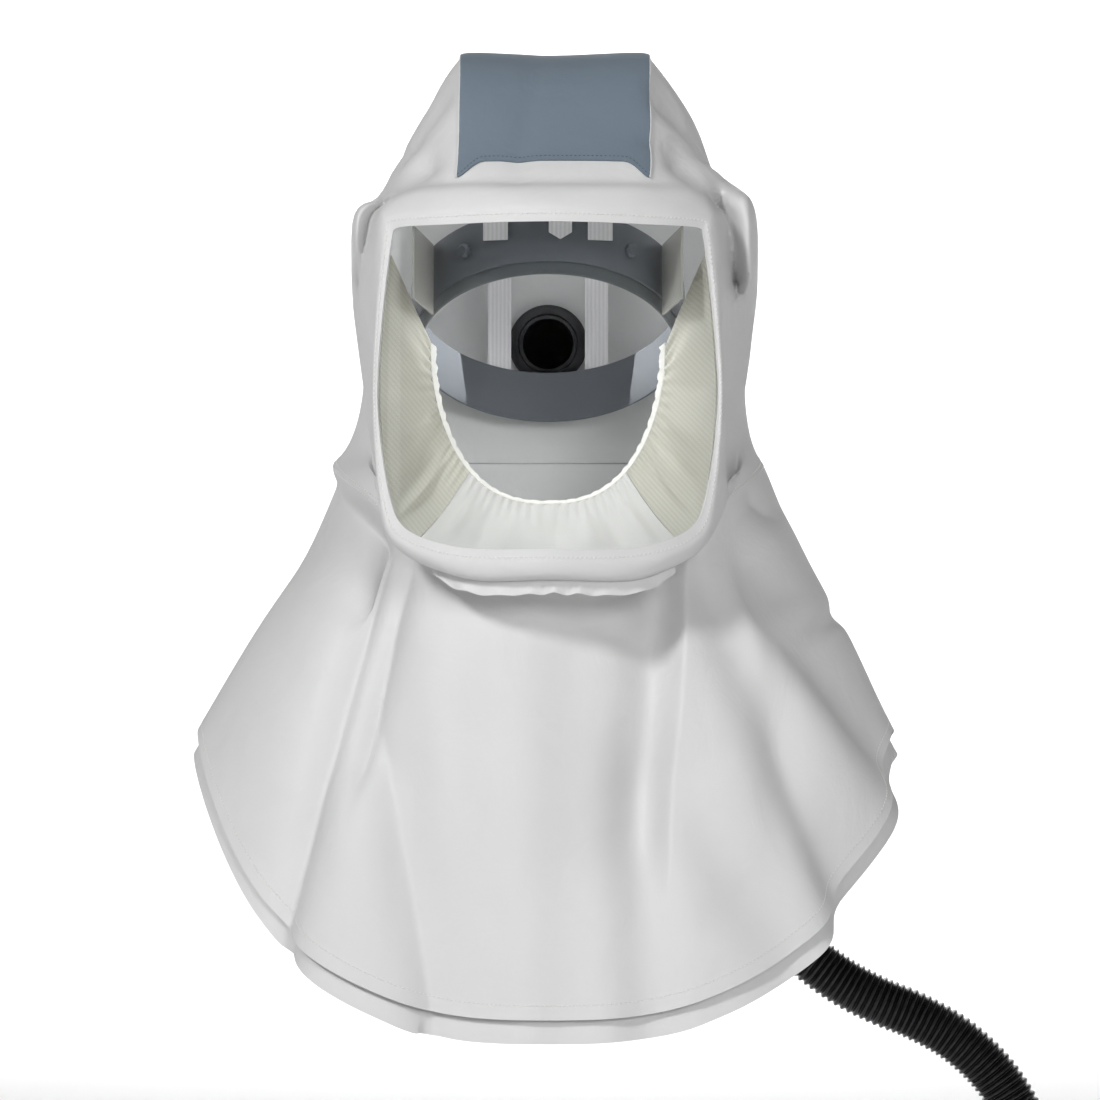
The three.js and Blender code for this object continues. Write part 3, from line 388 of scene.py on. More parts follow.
CAPE_FOLDS = [
    fold((-0.85, 0.1), (-1.405, 0.9), 0.11, -0.075, kind="crease", side=1, steep=0.5, end=1.2),
    fold((0.71, 0.12), (0.61, 0.66), 0.09, -0.062, kind="edge", side=1, end=1),
    fold((0.66, 0.6), (0.93, 0.76), 0.07, -0.025),
    fold((0.83, 0.19), (1.02, 0.4), 0.035, 0.012, end=2.5),
    fold((0.9, 0.27), (1.5, 0.76), 0.06, -0.055, end=2.2),
    fold((0.93, 0.18), (1.07, 0.36), 0.028, 0.01, end=2.5),
    fold((1.07, 0.36), (1.72, 0.66), 0.05, 0.012, end=2.5),
    fold((1.04, 0.2), (1.7, 0.52), 0.05, -0.045, end=2.2),
    fold((1.1, 0.18), (1.22, 0.23), 0.025, -0.015),
    fold((1.45, 0.3), (1.56, 0.26), 0.022, -0.012),
    fold((-0.86, 0.03), (-1.04, 0.22), 0.05, -0.05, kind="crease", side=1, steep=0.5, end=1.2),
    fold((0.93, 0.04), (1.1, 0.09), 0.025, -0.02, kind="crease", side=1, steep=0.6, end=1.5),
    fold((-1.2, 0.22), (-1.3, 0.6), 0.1, -0.012),
    fold((-0.74, 0.22), (-0.92, 0.52), 0.05, -0.045, kind="crease", side=1, steep=0.5, end=1.5),
    fold((-0.8, 0.56), (-0.58, 0.98), 0.07, -0.035, kind="crease", side=-1, steep=0.6, end=1.5),
    fold((-0.78, 0.42), (-0.5, 0.95), 0.07, -0.02, end=2),
    fold((-0.32, 0.5), (-0.28, 0.98), 0.06, -0.014, end=2),
    fold((0.12, 0.4), (0.1, 0.98), 0.07, -0.016, end=2),
    fold((0.45, 0.62), (0.5, 0.98), 0.06, -0.03, end=2),
    fold((1.12, 0.66), (1.2, 0.92), 0.07, -0.02, end=2),
    fold((0.25, 0.3), (0.4, 0.32), 0.03, -0.008),
]
cape_height = CAPE_FRONT_DROP - SEAM_DROP


def fold_depth(fold, x, z, top, height):
    """How far the cloth moves at (x, z) because of one fold, in millimetres."""
    x0, x1 = (point[0] * HOOD_HALF_WIDTH for point in (fold["start"], fold["stop"]))
    z0, z1 = (top - point[1] * height for point in (fold["start"], fold["stop"]))
    width, depth = fold["width"] * height, fold["depth"] * height
    length = math.hypot(x1 - x0, z1 - z0)
    ax, az = (x1 - x0) / length, (z1 - z0) / length
    t = (x - x0) * ax + (z - z0) * az
    past = np.maximum(0, np.maximum(-t, t - length))
    across = (x - x0) * az - (z - z0) * ax
    ends = bell(past, fold["end"] * width)
    if fold["kind"] == "valley":
        return depth * bell(across, width) * ends
    if fold["kind"] == "crease":
        soft = width * CREASE_SOFT
        flank = np.where(across * fold["side"] > 0, width, width * fold["steep"])
        return depth * np.exp(-(np.hypot(across, soft) - soft) / flank) * ends
    behind = np.maximum(across * fold["side"], 0)
    rise = 1 - np.exp(-(behind / (EDGE_RISE * width)) ** 1.5)
    return depth * EDGE_DEEPER * rise * np.exp(-behind / width) * ends


def pressed(grid, folds, fade, top, height):
    """The grid with its folds pressed in on the front. fade says how much of them each row takes."""
    n = normals_of(grid)
    facing = smooth(-n[..., 1], -0.45, 0.05)
    x, z = grid[..., 0], grid[..., 2]
    share = facing * np.asarray(fade)[:, None]
    depth = sum(fold_depth(f, x, z, top, height) for f in folds if not f["push"]) * share
    made = grid + n * depth[..., None]
    back = [fold_depth(f, x, z, top, height) for f in folds if f["push"]]
    if back:
        made[..., 1] -= sum(back) * share
    return made


# Meshes


def body_mesh(name, points, faces, material):
    """A mesh from points in millimetres. It rides on the only body."""
    mesh = bpy.data.meshes.new(name)
    mesh.from_pydata((np.asarray(points, float) * MM).tolist(), [], faces)
    mesh.validate()
    mesh.polygons.foreach_set("use_smooth", [True] * len(mesh.polygons))
    mesh.materials.append(material)
    piece = bpy.data.objects.new(name, mesh)
    bpy.context.scene.collection.objects.link(piece)
    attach(piece, "root")
    return piece


def ring_faces(rows, columns, closed, start=0, flip=False):
    """The quads between rows of points. closed joins the last column to the first."""
    faces = []
    for j in range(rows - 1):
        for i in range(columns if closed else columns - 1):
            a = start + j * columns + i
            b = start + j * columns + (i + 1) % columns
            quad = (a, b, b + columns, a + columns)
            faces.append(quad[::-1] if flip else quad)
    return faces


def wall_mesh(name, grid, wall, closed, material, normals=None):
    """A closed wall whose one face is the grid and whose other face lies the wall's thickness behind it."""
    n = normals_of(grid, closed) if normals is None else normals
    rows, columns = grid.shape[:2]
    inner = grid - n * wall
    points = np.concatenate([grid.reshape(-1, 3), inner.reshape(-1, 3)])
    half = rows * columns
    faces = ring_faces(rows, columns, closed) + ring_faces(rows, columns, closed, half, True)
    count = columns if closed else columns - 1
    for row in (0, rows - 1):
        for i in range(count):
            a = row * columns + i
            b = row * columns + (i + 1) % columns
            quad = (a, a + half, b + half, b)
            faces.append(quad if row == 0 else quad[::-1])
    if not closed:
        for column in (0, columns - 1):
            for j in range(rows - 1):
                a = j * columns + column
                b = a + columns
                quad = (a, b, b + half, a + half)
                faces.append(quad if column == 0 else quad[::-1])
    piece = body_mesh(name, points, faces, material)
    face_out(piece)
    return piece


def face_out(piece):
    """Turn every face outwards, and keep hard rims crisp."""
    bm = bmesh.new()
    bm.from_mesh(piece.data)
    bmesh.ops.recalc_face_normals(bm, faces=bm.faces)
    for edge in bm.edges:
        if len(edge.link_faces) == 2 and edge.calc_face_angle(0) > HARD_EDGE:
            edge.smooth = False
    bm.to_mesh(piece.data)
    bm.free()


def wheel(sides):
    """Cosines and sines round a circle, as columns."""
    angles = np.arange(sides) * TAU / sides
    return np.cos(angles)[:, None], np.sin(angles)[:, None]


def tube_mesh(name, path, radii, sides, material, wall=None):
    """A round tube along a path, with its own radius at each point. With a wall it is hollow and open."""
    path = np.asarray(path, float)
    tangent = np.gradient(path, axis=0)
    tangent /= np.linalg.norm(tangent, axis=1, keepdims=True)
    across = np.cross(tangent[0], [0.3, 1, 0.2])
    across /= np.linalg.norm(across)
    cosines, sines = wheel(sides)
    rings, inner = [], []
    for p, t, r in zip(path, tangent, radii):
        across = across - t * np.dot(across, t)
        across /= np.linalg.norm(across)
        spokes = cosines * across + sines * np.cross(t, across)
        rings.append(p + r * spokes)
        inner.append(p + (r - (wall or 0)) * spokes)
    if wall:
        rings += inner[::-1]
    faces = ring_faces(len(rings), sides, True)
    last = (len(rings) - 1) * sides
    if wall:
        faces += [(last + i, last + (i + 1) % sides, (i + 1) % sides, i) for i in range(sides)]
    else:
        faces += [tuple(range(sides))[::-1], tuple(range(last, last + sides))]
    piece = body_mesh(name, np.concatenate(rings), faces, material)
    face_out(piece)
    return piece


def turned_mesh(name, profile, centre, axis, material, sides=64):
    """A turned piece: profile is (radius, height) pairs, closed on itself, along the axis from the centre."""
    axis = np.asarray(axis, float) / np.linalg.norm(axis)
    across = np.cross(axis, [0.31, 0.87, 0.4])
    across /= np.linalg.norm(across)
    cosines, sines = wheel(sides)
    spokes = cosines * across + sines * np.cross(axis, across)
    rings = [np.asarray(centre) + axis * h + spokes * max(r, 0.01) for r, h in profile]
    total = len(rings) * sides
    faces = [tuple(k % total for k in face) for face in ring_faces(len(rings) + 1, sides, True)]
    piece = body_mesh(name, np.concatenate(rings), faces, material)
    face_out(piece)
    return piece


def pierce(piece, centre, radius, depth, sides=96):
    """A round hole through the piece along Y, depth to either side of the centre."""
    cosines, sines = wheel(sides)
    ends = [
        np.asarray(centre) + np.hstack([radius * cosines, np.full_like(sines, side * depth), radius * sines])
        for side in (-1, 1)
    ]
    faces = ring_faces(2, sides, True) + [tuple(range(sides))[::-1], tuple(range(sides, 2 * sides))]
    mesh = bpy.data.meshes.new("cutter")
    mesh.from_pydata((np.concatenate(ends) * MM).tolist(), [], faces)
    cutter = bpy.data.objects.new("cutter", mesh)
    bpy.context.scene.collection.objects.link(cutter)
    face_out(cutter)
    hole = piece.modifiers.new("hole", "BOOLEAN")
    hole.operation = "DIFFERENCE"
    hole.object = cutter
    hole.solver = "EXACT"
    whole = piece.evaluated_get(bpy.context.evaluated_depsgraph_get())
    piece.data = bpy.data.meshes.new_from_object(whole)
    piece.modifiers.clear()
    bpy.data.objects.remove(cutter)


def stitch_mesh(name, lines, pitch, length, radius, material):
    """Thread stitches along lines. Each line is (points, normals) on the surface that they lie on."""
    points, faces = [], []
    for line, normals in lines:
        step = np.linalg.norm(np.diff(line, axis=0), axis=1)
        run = np.concatenate([[0], np.cumsum(step)])
        at = np.arange(pitch / 2, run[-1], pitch)
        centre = np.stack([np.interp(at, run, line[:, k]) for k in range(3)], 1)
        ahead = np.stack([np.interp(at + 0.5, run, line[:, k]) for k in range(3)], 1)
        normal = np.stack([np.interp(at, run, normals[:, k]) for k in range(3)], 1)
        for c, a, n in zip(centre, ahead, normal):
            t = a - c
            t /= max(np.linalg.norm(t), TINY)
            n = n / np.linalg.norm(n)
            s = np.cross(t, n)
            start = len(points)
            half = length / 2
            for p in (-half * t, half * t, radius * s, -radius * s, radius * n, -radius * n):
                points.append(c + n * radius * STITCH_RISE + p)
            for e in (0, 1):
                for q, r in ((2, 4), (4, 3), (3, 5), (5, 2)):
                    faces.append((start + e, start + q, start + r) if e else (start + e, start + r, start + q))
    return body_mesh(name, points, faces, material)


# Materials


def colour(code):
    """An sRGB code such as "d4d5d5" as the linear colour that Blender's nodes take."""
    channels = [int(code[i : i + 2], 16) / 255 for i in (0, 2, 4)]
    return [c / 12.92 if c <= 0.04045 else ((c + 0.055) / 1.055) ** 2.4 for c in channels] + [1.0]


def add_node(tree, kind, inputs=None, **settings):
    """A node with its settings, and its inputs given as a value or as another node's output."""
    made = tree.nodes.new(kind)
    for key, value in settings.items():
        setattr(made, key, value)
    for key, value in (inputs or {}).items():
        if isinstance(value, bpy.types.NodeSocket):
            tree.links.new(value, made.inputs[key])
        else:
            made.inputs[key].default_value = value
    return made


def new_material(name):
    material = bpy.data.materials.new(name)
    material.use_nodes = True
    material.node_tree.nodes.clear()
    return material, material.node_tree


def finished(tree, shader):
    add_node(tree, "ShaderNodeOutputMaterial", {"Surface": shader})


def ramp(tree, share, low, high):
    """A colour between two, by a share."""
    mixed = add_node(tree, "ShaderNodeMix", {"Factor": share}, data_type="RGBA")
    mixed.inputs[6].default_value = low
    mixed.inputs[7].default_value = high
    return mixed.outputs[2]


def tinted(base, factor):
    return [min(1, c * factor) for c in base[:3]] + [1]


def cloth(tree, base, tone, bump, roughness, specular, sheen, through_light):
    """A cloth's shader. through_light is the share of light that it lets through."""
    woven = add_node(
        tree,
        "ShaderNodeBsdfPrincipled",
        {
            "Base Color": tone,
            "Roughness": roughness,
            "Specular IOR Level": specular,
            "Sheen Weight": sheen,
            "Normal": bump.outputs["Normal"],
        },
    )
    shader = woven.outputs["BSDF"]
    if through_light:
        lit = add_node(tree, "ShaderNodeBsdfTranslucent", {"Color": base})
        mixed = add_node(tree, "ShaderNodeMixShader", {0: through_light, 1: shader, 2: lit.outputs["BSDF"]})
        shader = mixed.outputs["Shader"]
    finished(tree, shader)


TONE_SCALE = 9.0  # patches of tone about 110 mm across
CREASE_SCALE = 28.0  # creases about 36 mm apart
CREASE_DEPTH = 6


def fabric(name, code, roughness=0.6, grain=0.5, grain_depth=0.05, shade=0.05, sheen=0.1, through_light=0.0):
    """Cloth: a grain in millimetres, a soft change of tone and a few flat creases.

    The real threads are about 0.2 mm apart, too fine to show, so the grain is drawn coarser.
    """
    material, tree = new_material(name)
    place = add_node(tree, "ShaderNodeTexCoord").outputs["Object"]
    tone = add_node(tree, "ShaderNodeTexNoise", {"Vector": place, "Scale": TONE_SCALE, "Detail": 3.0})
    base = colour(code)
    mixed = ramp(tree, tone.outputs["Fac"], tinted(base, 1 - shade), tinted(base, 1 + shade))
    fine = add_node(tree, "ShaderNodeTexNoise", {"Vector": place, "Scale": 1 / (grain * MM), "Detail": 2.0})
    creases = add_node(
        tree, "ShaderNodeTexNoise", {"Vector": place, "Scale": CREASE_SCALE, "Detail": 4.0, "Distortion": 0.6}
    )
    soft = add_node(
        tree,
        "ShaderNodeBump",
        {"Height": creases.outputs["Fac"], "Strength": 0.25, "Distance": CREASE_DEPTH * MM},
    )
    bump = add_node(
        tree,
        "ShaderNodeBump",
        {
            "Height": fine.outputs["Fac"],
            "Strength": 0.35,
            "Distance": grain_depth * MM,
            "Normal": soft.outputs["Normal"],
        },
    )
    cloth(tree, base, mixed, bump, roughness, 0.35, sheen, through_light)
    return material


WAVE_TURNS = math.pi / 20  # a wave texture of scale 1 repeats every pi / 10 m


def ribbed_fabric(name, code, rib, turn, depth=0.12, through_light=0.0):
    """Cloth with fine parallel ribs, such as twill, turned about the view axis, with painted shade in the
    grooves between the ribs.

    rib is the width of a rib and of a groove in millimetres. The real ones are about 0.3 mm, too fine to show,
    so they are drawn coarser.
    """
    material, tree = new_material(name)
    place = add_node(tree, "ShaderNodeTexCoord").outputs["Object"]
    turned = add_node(tree, "ShaderNodeMapping", {"Vector": place, "Rotation": (0, turn, 0)})
    ribs = add_node(
        tree,
        "ShaderNodeTexWave",
        {
            "Vector": turned.outputs["Vector"],
            "Scale": 1 / (rib * MM) * WAVE_TURNS,
            "Distortion": 0.4,
            "Detail": 1.0,
        },
        bands_direction="X",
    )
    base = colour(code)
    # The grooves are painted darker than the rib tops: painted shade, on top of the bump's own shading.
    tone = ramp(tree, ribs.outputs["Fac"], tinted(base, 0.86), base)
    bump = add_node(
        tree, "ShaderNodeBump", {"Height": ribs.outputs["Fac"], "Strength": 0.5, "Distance": depth * MM}
    )
    cloth(tree, base, tone, bump, 0.75, 0.25, 0.15, through_light)
    return material


MOULD_GRAIN_SCALE = 1800.0  # texture of the mould, drawn at 0.6 mm to show
MOULD_SHINE_SCALE = 35.0  # patches of gloss about 30 mm across


def moulded(name, code, roughness=0.4, grain_depth=0.02, specular=0.5):
    """Moulded plastic or rubber, with a fine texture and a faint change of gloss."""
    material, tree = new_material(name)
    place = add_node(tree, "ShaderNodeTexCoord").outputs["Object"]
    grain = add_node(tree, "ShaderNodeTexNoise", {"Vector": place, "Scale": MOULD_GRAIN_SCALE, "Detail": 2.0})
    gloss = add_node(tree, "ShaderNodeTexNoise", {"Vector": place, "Scale": MOULD_SHINE_SCALE, "Detail": 3.0})
    spread = add_node(
        tree,
        "ShaderNodeMapRange",
        {"Value": gloss.outputs["Fac"], "To Min": max(0.02, roughness - 0.06), "To Max": roughness + 0.06},
    )
    bump = add_node(
        tree, "ShaderNodeBump", {"Height": grain.outputs["Fac"], "Strength": 0.3, "Distance": grain_depth * MM}
    )
    body = add_node(
        tree,
        "ShaderNodeBsdfPrincipled",
        {
            "Base Color": colour(code),
            "Roughness": spread.outputs["Result"],
            "Specular IOR Level": specular,
            "Normal": bump.outputs["Normal"],
        },
    )
    finished(tree, body.outputs["BSDF"])
    return material


def clear_plastic(name, code, roughness, clearness, edge=0.6):
    """Clear plastic: light passes straight through, and it shines more the flatter that it is seen."""
    material, tree = new_material(name)
    straight = add_node(tree, "ShaderNodeBsdfTransparent", {"Color": colour(code)})
    shine = add_node(
        tree,
        "ShaderNodeBsdfPrincipled",
        {"Base Color": colour(code), "Roughness": roughness, "Specular IOR Level": 0.5},
    )
    facing = add_node(tree, "ShaderNodeLayerWeight", {"Blend": 0.25})
    share = add_node(
        tree,
        "ShaderNodeMapRange",
        {"Value": facing.outputs["Facing"], "To Min": 1 - clearness, "To Max": min(1, 1 - clearness + edge)},
    )
    both = add_node(
        tree,
        "ShaderNodeMixShader",
        {0: share.outputs["Result"], 1: straight.outputs["BSDF"], 2: shine.outputs["BSDF"]},
    )
    finished(tree, both.outputs["Shader"])
    return material


def film(name):
    """Thin clear film: a faint grey tint and a mirror-like gloss at its edges."""
    material, tree = new_material(name)
    straight = add_node(tree, "ShaderNodeBsdfTransparent", {"Color": colour("fdfefe")})
    gloss = add_node(tree, "ShaderNodeBsdfGlossy", {"Color": colour("ffffff"), "Roughness": 0.03})
    rim = add_node(tree, "ShaderNodeLayerWeight", {"Blend": 0.06})
    both = add_node(
        tree,
        "ShaderNodeMixShader",
        {0: rim.outputs["Facing"], 1: straight.outputs["BSDF"], 2: gloss.outputs["BSDF"]},
    )
    finished(tree, both.outputs["Shader"])
    return material


def plain(name, code, roughness=0.9):
    """Matt thread or paper of one colour."""
    material, tree = new_material(name)
    body = add_node(
        tree, "ShaderNodeBsdfPrincipled",
        {"Base Color": colour(code), "Roughness": roughness, "Specular IOR Level": 0.1},
    )
    finished(tree, body.outputs["BSDF"])
    return material


# Coated polyamide: pale grey, smooth and a little soft in its shine.
COATED = fabric("coated_polyamide", "d9d9d9", roughness=0.6, grain=0.45, through_light=0.04)
# Plain weave for the crown: blue-grey and duller than the hood.
PANEL = fabric("panel_cloth", "6f7c88", roughness=0.7, grain=0.4, shade=0.04)
# Elastic knit, gathered: off-white with a coarse, matt grain.
TRIM = fabric("gathered_knit", "dcdad4", roughness=0.8, grain=0.6, grain_depth=0.12, sheen=0.2)
# Cotton twill: cream, with slanting ribs and painted shade in their grooves, and light comes through it.
TWILL = ribbed_fabric("cotton_twill", "ebe9df", rib=1.1, turn=0.7, through_light=0.35)
# Fine polyester mesh: nearly white and matt, and light comes through it.
MESH = fabric("fine_mesh", "f4f3f1", roughness=0.85, grain=0.7, grain_depth=0.15, sheen=0.2, through_light=0.3)
# Moulded polypropylene band: dark blue-grey, with a satin texture.
BAND = moulded("band_polymer", "5c6066", roughness=0.45)
# Foam with a brushed face: dark grey and quite matt.
PAD = fabric("sweatband_foam", "5a5e61", roughness=0.9, grain=0.9, grain_depth=0.2, sheen=0.3)
# Woven polyester tape: white, with ribs along it and painted shade in their grooves.
WEBBING = ribbed_fabric("woven_tape", "e6e4e6", rib=1.2, turn=0.0)
# Moulded clear polycarbonate: greyish, half see-through and brighter at its edges.
LUG = clear_plastic("clear_polymer", "c9c8c2", roughness=0.25, clearness=0.55)
# Clear acetate film: all but unseen from the front and glossy at a slant.
FILM = film("clear_film")
# Spun polyester thread: matt, in white and in the panel's blue-grey.
THREAD = plain("sewing_thread", "f0efec", 0.7)
DARK_THREAD = plain("dark_thread", "4a5662", 0.7)
# Moulded elastomer for the hose and cuff: black, with a narrow bright gloss.
RUBBER = moulded("black_elastomer", "0d0c0e", roughness=0.22, specular=0.6)
# Moulded glass-filled polyamide for the port: black and satin.
PORT = moulded("black_polymer", "1c1c1f", roughness=0.35)

# Camera and light

CAMERA_X = 1.2
CAMERA_Z = -258
CAMERA_DISTANCE = 2400
FRAME_PIXELS = 1100
FOCAL_PIXELS = 4100
SENSOR = 36


def camera():
    """A level camera in front of the hood, at the photograph's distance and field."""
    data = bpy.data.cameras.new("camera")
    data.sensor_width = SENSOR
    data.lens = SENSOR * FOCAL_PIXELS / FRAME_PIXELS
    data.clip_start = 0.05
    data.clip_end = 30
    made = bpy.data.objects.new("camera", data)
    made.location = (CAMERA_X * MM, -CAMERA_DISTANCE * MM, CAMERA_Z * MM)
    made.rotation_euler = (math.pi / 2, 0, 0)
    bpy.context.scene.collection.objects.link(made)
    bpy.context.scene.camera = made


def light(name, place, aim, size, power, tall=1.0, in_gloss=False):
    """A soft oval lamp. Only a lamp that is in the gloss is mirrored by the window and the hose."""
    data = bpy.data.lights.new(name, "AREA")
    data.shape = "ELLIPSE"
    data.size = size
    data.size_y = size * tall
    data.energy = power
    made = bpy.data.objects.new(name, data)
    made.location = place
    made.rotation_euler = (Vector(aim) - Vector(place)).to_track_quat("-Z", "Y").to_euler()
    made.visible_camera = False
    made.visible_glossy = in_gloss
    bpy.context.scene.collection.objects.link(made)


FLOOR_Z = -0.86
FLOOR_RADIUS = 4.4
WALL_RADIUS = 5.2
WALL_HEIGHT = 4.6
SECTORS = 120


def stage():
    """A pale floor that curves up into a pale wall all round, beyond every camera."""
    cove = WALL_RADIUS - FLOOR_RADIUS
    bends = np.linspace(0, TAU / 4, 12)
    profile = [(0.001, 0.0), (FLOOR_RADIUS * 0.5, 0.0)]
    profile += [(FLOOR_RADIUS + cove * math.sin(a), cove - cove * math.cos(a)) for a in bends]
    profile += [(WALL_RADIUS, WALL_HEIGHT)]
    turns = [k * TAU / SECTORS for k in range(SECTORS)]
    points = [(r * math.cos(a), r * math.sin(a), z + FLOOR_Z) for r, z in profile for a in turns]
    mesh = bpy.data.meshes.new("backdrop")
    mesh.from_pydata(points, [], ring_faces(len(profile), SECTORS, True, flip=True))
    mesh.polygons.foreach_set("use_smooth", [True] * len(mesh.polygons))
    mesh.materials.append(plain("backdrop_paper", "f4f4f4"))
    made = bpy.data.objects.new("backdrop", mesh)
    bpy.context.scene.collection.objects.link(made)


def lights():
    """Soft lamps: the key from the upper right of the wearer, and a lamp for the wall behind."""
    world = bpy.data.worlds.new("studio")
    world.use_nodes = True
    sky = world.node_tree.nodes["Background"]
    sky.inputs["Color"].default_value = (1, 1, 1, 1)
    sky.inputs["Strength"].default_value = 0.08
    bpy.context.scene.world = world
    light("key", (-1.3, -2.0, 1.1), (0, 0, -0.25), 0.45, 37, in_gloss=True)
    light("front", (0.8, -2.6, 0.4), (0, 0, -0.3), 0.8, 24)
    light("side", (-2.4, -0.75, -0.15), (0, 0, -0.2), 0.22, 0.7, tall=7, in_gloss=True)
    light("back", (0.2, 1.4, 0.4), (0, 0, -0.15), 1.0, 2.5, in_gloss=True)
    light("inside", (0, 0.07, -0.13), (0, -0.2, -0.17), 0.12, 0.5)
    light("wall", (0, 3.3, 1.5), (0, 4.8, -0.8), 2.2, 92)


bpy.context.scene.view_settings.view_transform = "Standard"
camera()
stage()
lights()

# Hose, first of all the pieces: its route as in the CAD model
HOSE_ROUTE = [
    (0, 153, -204.3), (0, 153, -226), (3, 156, -252), (10, 162, -282), (22, 169, -312), (39, 174.5, -346),
    (60, 178, -382), (85, 179, -420), (112, 179, -459), (137, 178, -489), (163, 176, -513), (185, 174, -529),
    (206, 172, -540), (230, 171, -550), (255, 169, -564), (277, 167, -584), (294, 165, -610), (304, 164, -640),
    (308, 163, -672), (309, 163, -708), (309, 163, -745), (309, 163, -785),
]


STEPS_PER_RIB = 8
HOSE_SIDES = 28


def smooth_route(points, step):
    """The route as one smooth curve, read every step millimetres."""
    points = np.asarray(points, float)
    chord = np.sqrt(np.linalg.norm(np.diff(points, axis=0), axis=1))
    fine = []
    padded = np.concatenate([[2 * points[0] - points[1]], points, [2 * points[-1] - points[-2]]])
    spans = np.concatenate([[chord[0]], chord, [chord[-1]]])
    for i in range(len(points) - 1):
        p0, p1, p2, p3 = padded[i : i + 4]
        d0, d1, d2 = spans[i : i + 3]
        m1 = (p1 - p0) / d0 - (p2 - p0) / (d0 + d1) + (p2 - p1) / d1
        m2 = (p2 - p1) / d1 - (p3 - p1) / (d1 + d2) + (p3 - p2) / d2
        t = np.linspace(0, 1, 40, endpoint=False)[:, None]
        fine.append(
            p1 * (2 * t**3 - 3 * t**2 + 1) + m1 * d1 * (t**3 - 2 * t**2 + t)
            + p2 * (3 * t**2 - 2 * t**3) + m2 * d1 * (t**3 - t**2)
        )
    fine = np.concatenate(fine + [points[-1:]])
    run = np.concatenate([[0], np.cumsum(np.linalg.norm(np.diff(fine, axis=0), axis=1))])
    at = np.linspace(0, run[-1], int(run[-1] / step) + 1)
    return np.stack([np.interp(at, run, fine[:, k]) for k in range(3)], 1), run[-1]


def hose():
    """The corrugated hose. Its ribs are rounder at their tops than between them."""
    path, length = smooth_route(HOSE_ROUTE, RIB_PITCH / STEPS_PER_RIB)
    at = np.linspace(0, length, len(path))
    wave = 0.5 + 0.5 * np.cos(at * TAU / RIB_PITCH)
    radii = HOSE_DIAMETER / 2 - RIB_DEPTH * (1 - wave**0.7)
    piece = tube_mesh("hose_corrugated", path, radii, HOSE_SIDES, RUBBER)
    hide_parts("hose")
    middle, _ = smooth_route(HOSE_ROUTE, 3)


hose()

# Hood

HOOD_COLUMNS = 288
BORDER_ROWS = 12
BODY_ROWS = 66
hood_us = np.arange(HOOD_COLUMNS) / HOOD_COLUMNS
border_vs = np.linspace(0, RING_STEP, BORDER_ROWS + 1)[:-1]
hood_vs = np.concatenate([border_vs, np.linspace(RING_STEP, 1, BODY_ROWS)])


hood_fade = smooth(hood_vs, RING_STEP, 1.35 * RING_STEP)  # no folds in the window's border
hood = pressed(hood_grid(hood_us, hood_vs), HOOD_FOLDS, hood_fade, CROWN_RISE, hood_height)
hood_normals = normals_of(hood)
shell = wall_mesh("hood_cloth", hood, FABRIC, True, COATED, hood_normals)
pierce(shell, (0, HOOD_BACK, -PORT_DROP), PORT_RADIUS + CLEAR, PORT_FLANGE_RADIUS)
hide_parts("hood_shell")


def read_rows(grid, at):
    """The grid read at fractional rows: at is (rows, columns) for the grid's columns."""
    low = np.clip(at.astype(int), 0, len(grid) - 2)
    share = (at - low)[..., None]
    columns = np.arange(grid.shape[1])[None]
    return grid[low, columns] * (1 - share) + grid[low + 1, columns] * share


def panel():
    """The crown panel. Its front edge comes down at both corners, over the ends of the brow."""
    half = HOOD_COLUMNS // 12
    columns = np.arange(-half, half + 1) % HOOD_COLUMNS
    across = np.abs(np.linspace(-1, 1, 2 * half + 1))
    rows = np.arange(len(hood_vs))
    front = np.interp(PANEL_FRONT - PANEL_CORNER * smooth(across, 0.62, 1), hood_vs, rows)
    back = np.interp(PANEL_BACK, hood_vs, rows)
    at = front[None] + (back - front)[None] * np.linspace(0, 1, PANEL_ROWS)[:, None]
    grid = read_rows(hood[:, columns], at)
    n = read_rows(hood_normals[:, columns], at)
    piece = wall_mesh("panel_cloth", grid + n * PANEL_LIFT, LINING, False, PANEL, n)
    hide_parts("crown_panel")
    lines = [(grid[1] + n[1] * PANEL_LIFT, n[1])]
    stitch_mesh("panel_stitches", lines, material=DARK_THREAD, **PANEL_STITCH)
    for side, column in (("right", 0), ("left", -1)):
        path = (grid + n * PANEL_LIFT * 0.6)[:, column]
        tube_mesh("panel_piping_" + side, path, np.full(len(path), PIPING_RADIUS), PIPING_SIDES, COATED)


panel()

# Window


def outline(us, grow):
    """The x and z of the window's edge, grown into the border."""
    edge = hood_grid(us, [0.0])[0]
    outer = hood_grid(us, [RING_STEP])[0]
    mixed = edge + (outer - edge) * (grow / BORDER)
    return mixed[:, 0], mixed[:, 2]


def visor():
    """The film: two bowed faces from near the middle out to the lap behind the border, closed at both ends."""
    us = np.arange(VISOR_COLUMNS) / VISOR_COLUMNS
    x, z = outline(us, VISOR_LAP)
    middle = -WINDOW_TOP - WINDOW_HEIGHT / 2
    shares = np.linspace(0.02, 1, VISOR_ROWS)
    front = FABRIC + CLEAR * 3
    layers = []
    for inset, order in ((front, shares), (front + VISOR_WALL, shares[::-1])):
        layers += [window_points(x * s, middle + (z - middle) * s, inset) for s in order]
    grid = np.array(layers)
    faces = ring_faces(*grid.shape[:2], True)
    faces.append(tuple(range(len(us)))[::-1])
    faces.append(tuple(range((len(layers) - 1) * len(us), len(layers) * len(us))))
    piece = body_mesh("visor_film", grid.reshape(-1, 3), faces, FILM)
    face_out(piece)
    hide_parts("visor")


visor()

# Chin frill


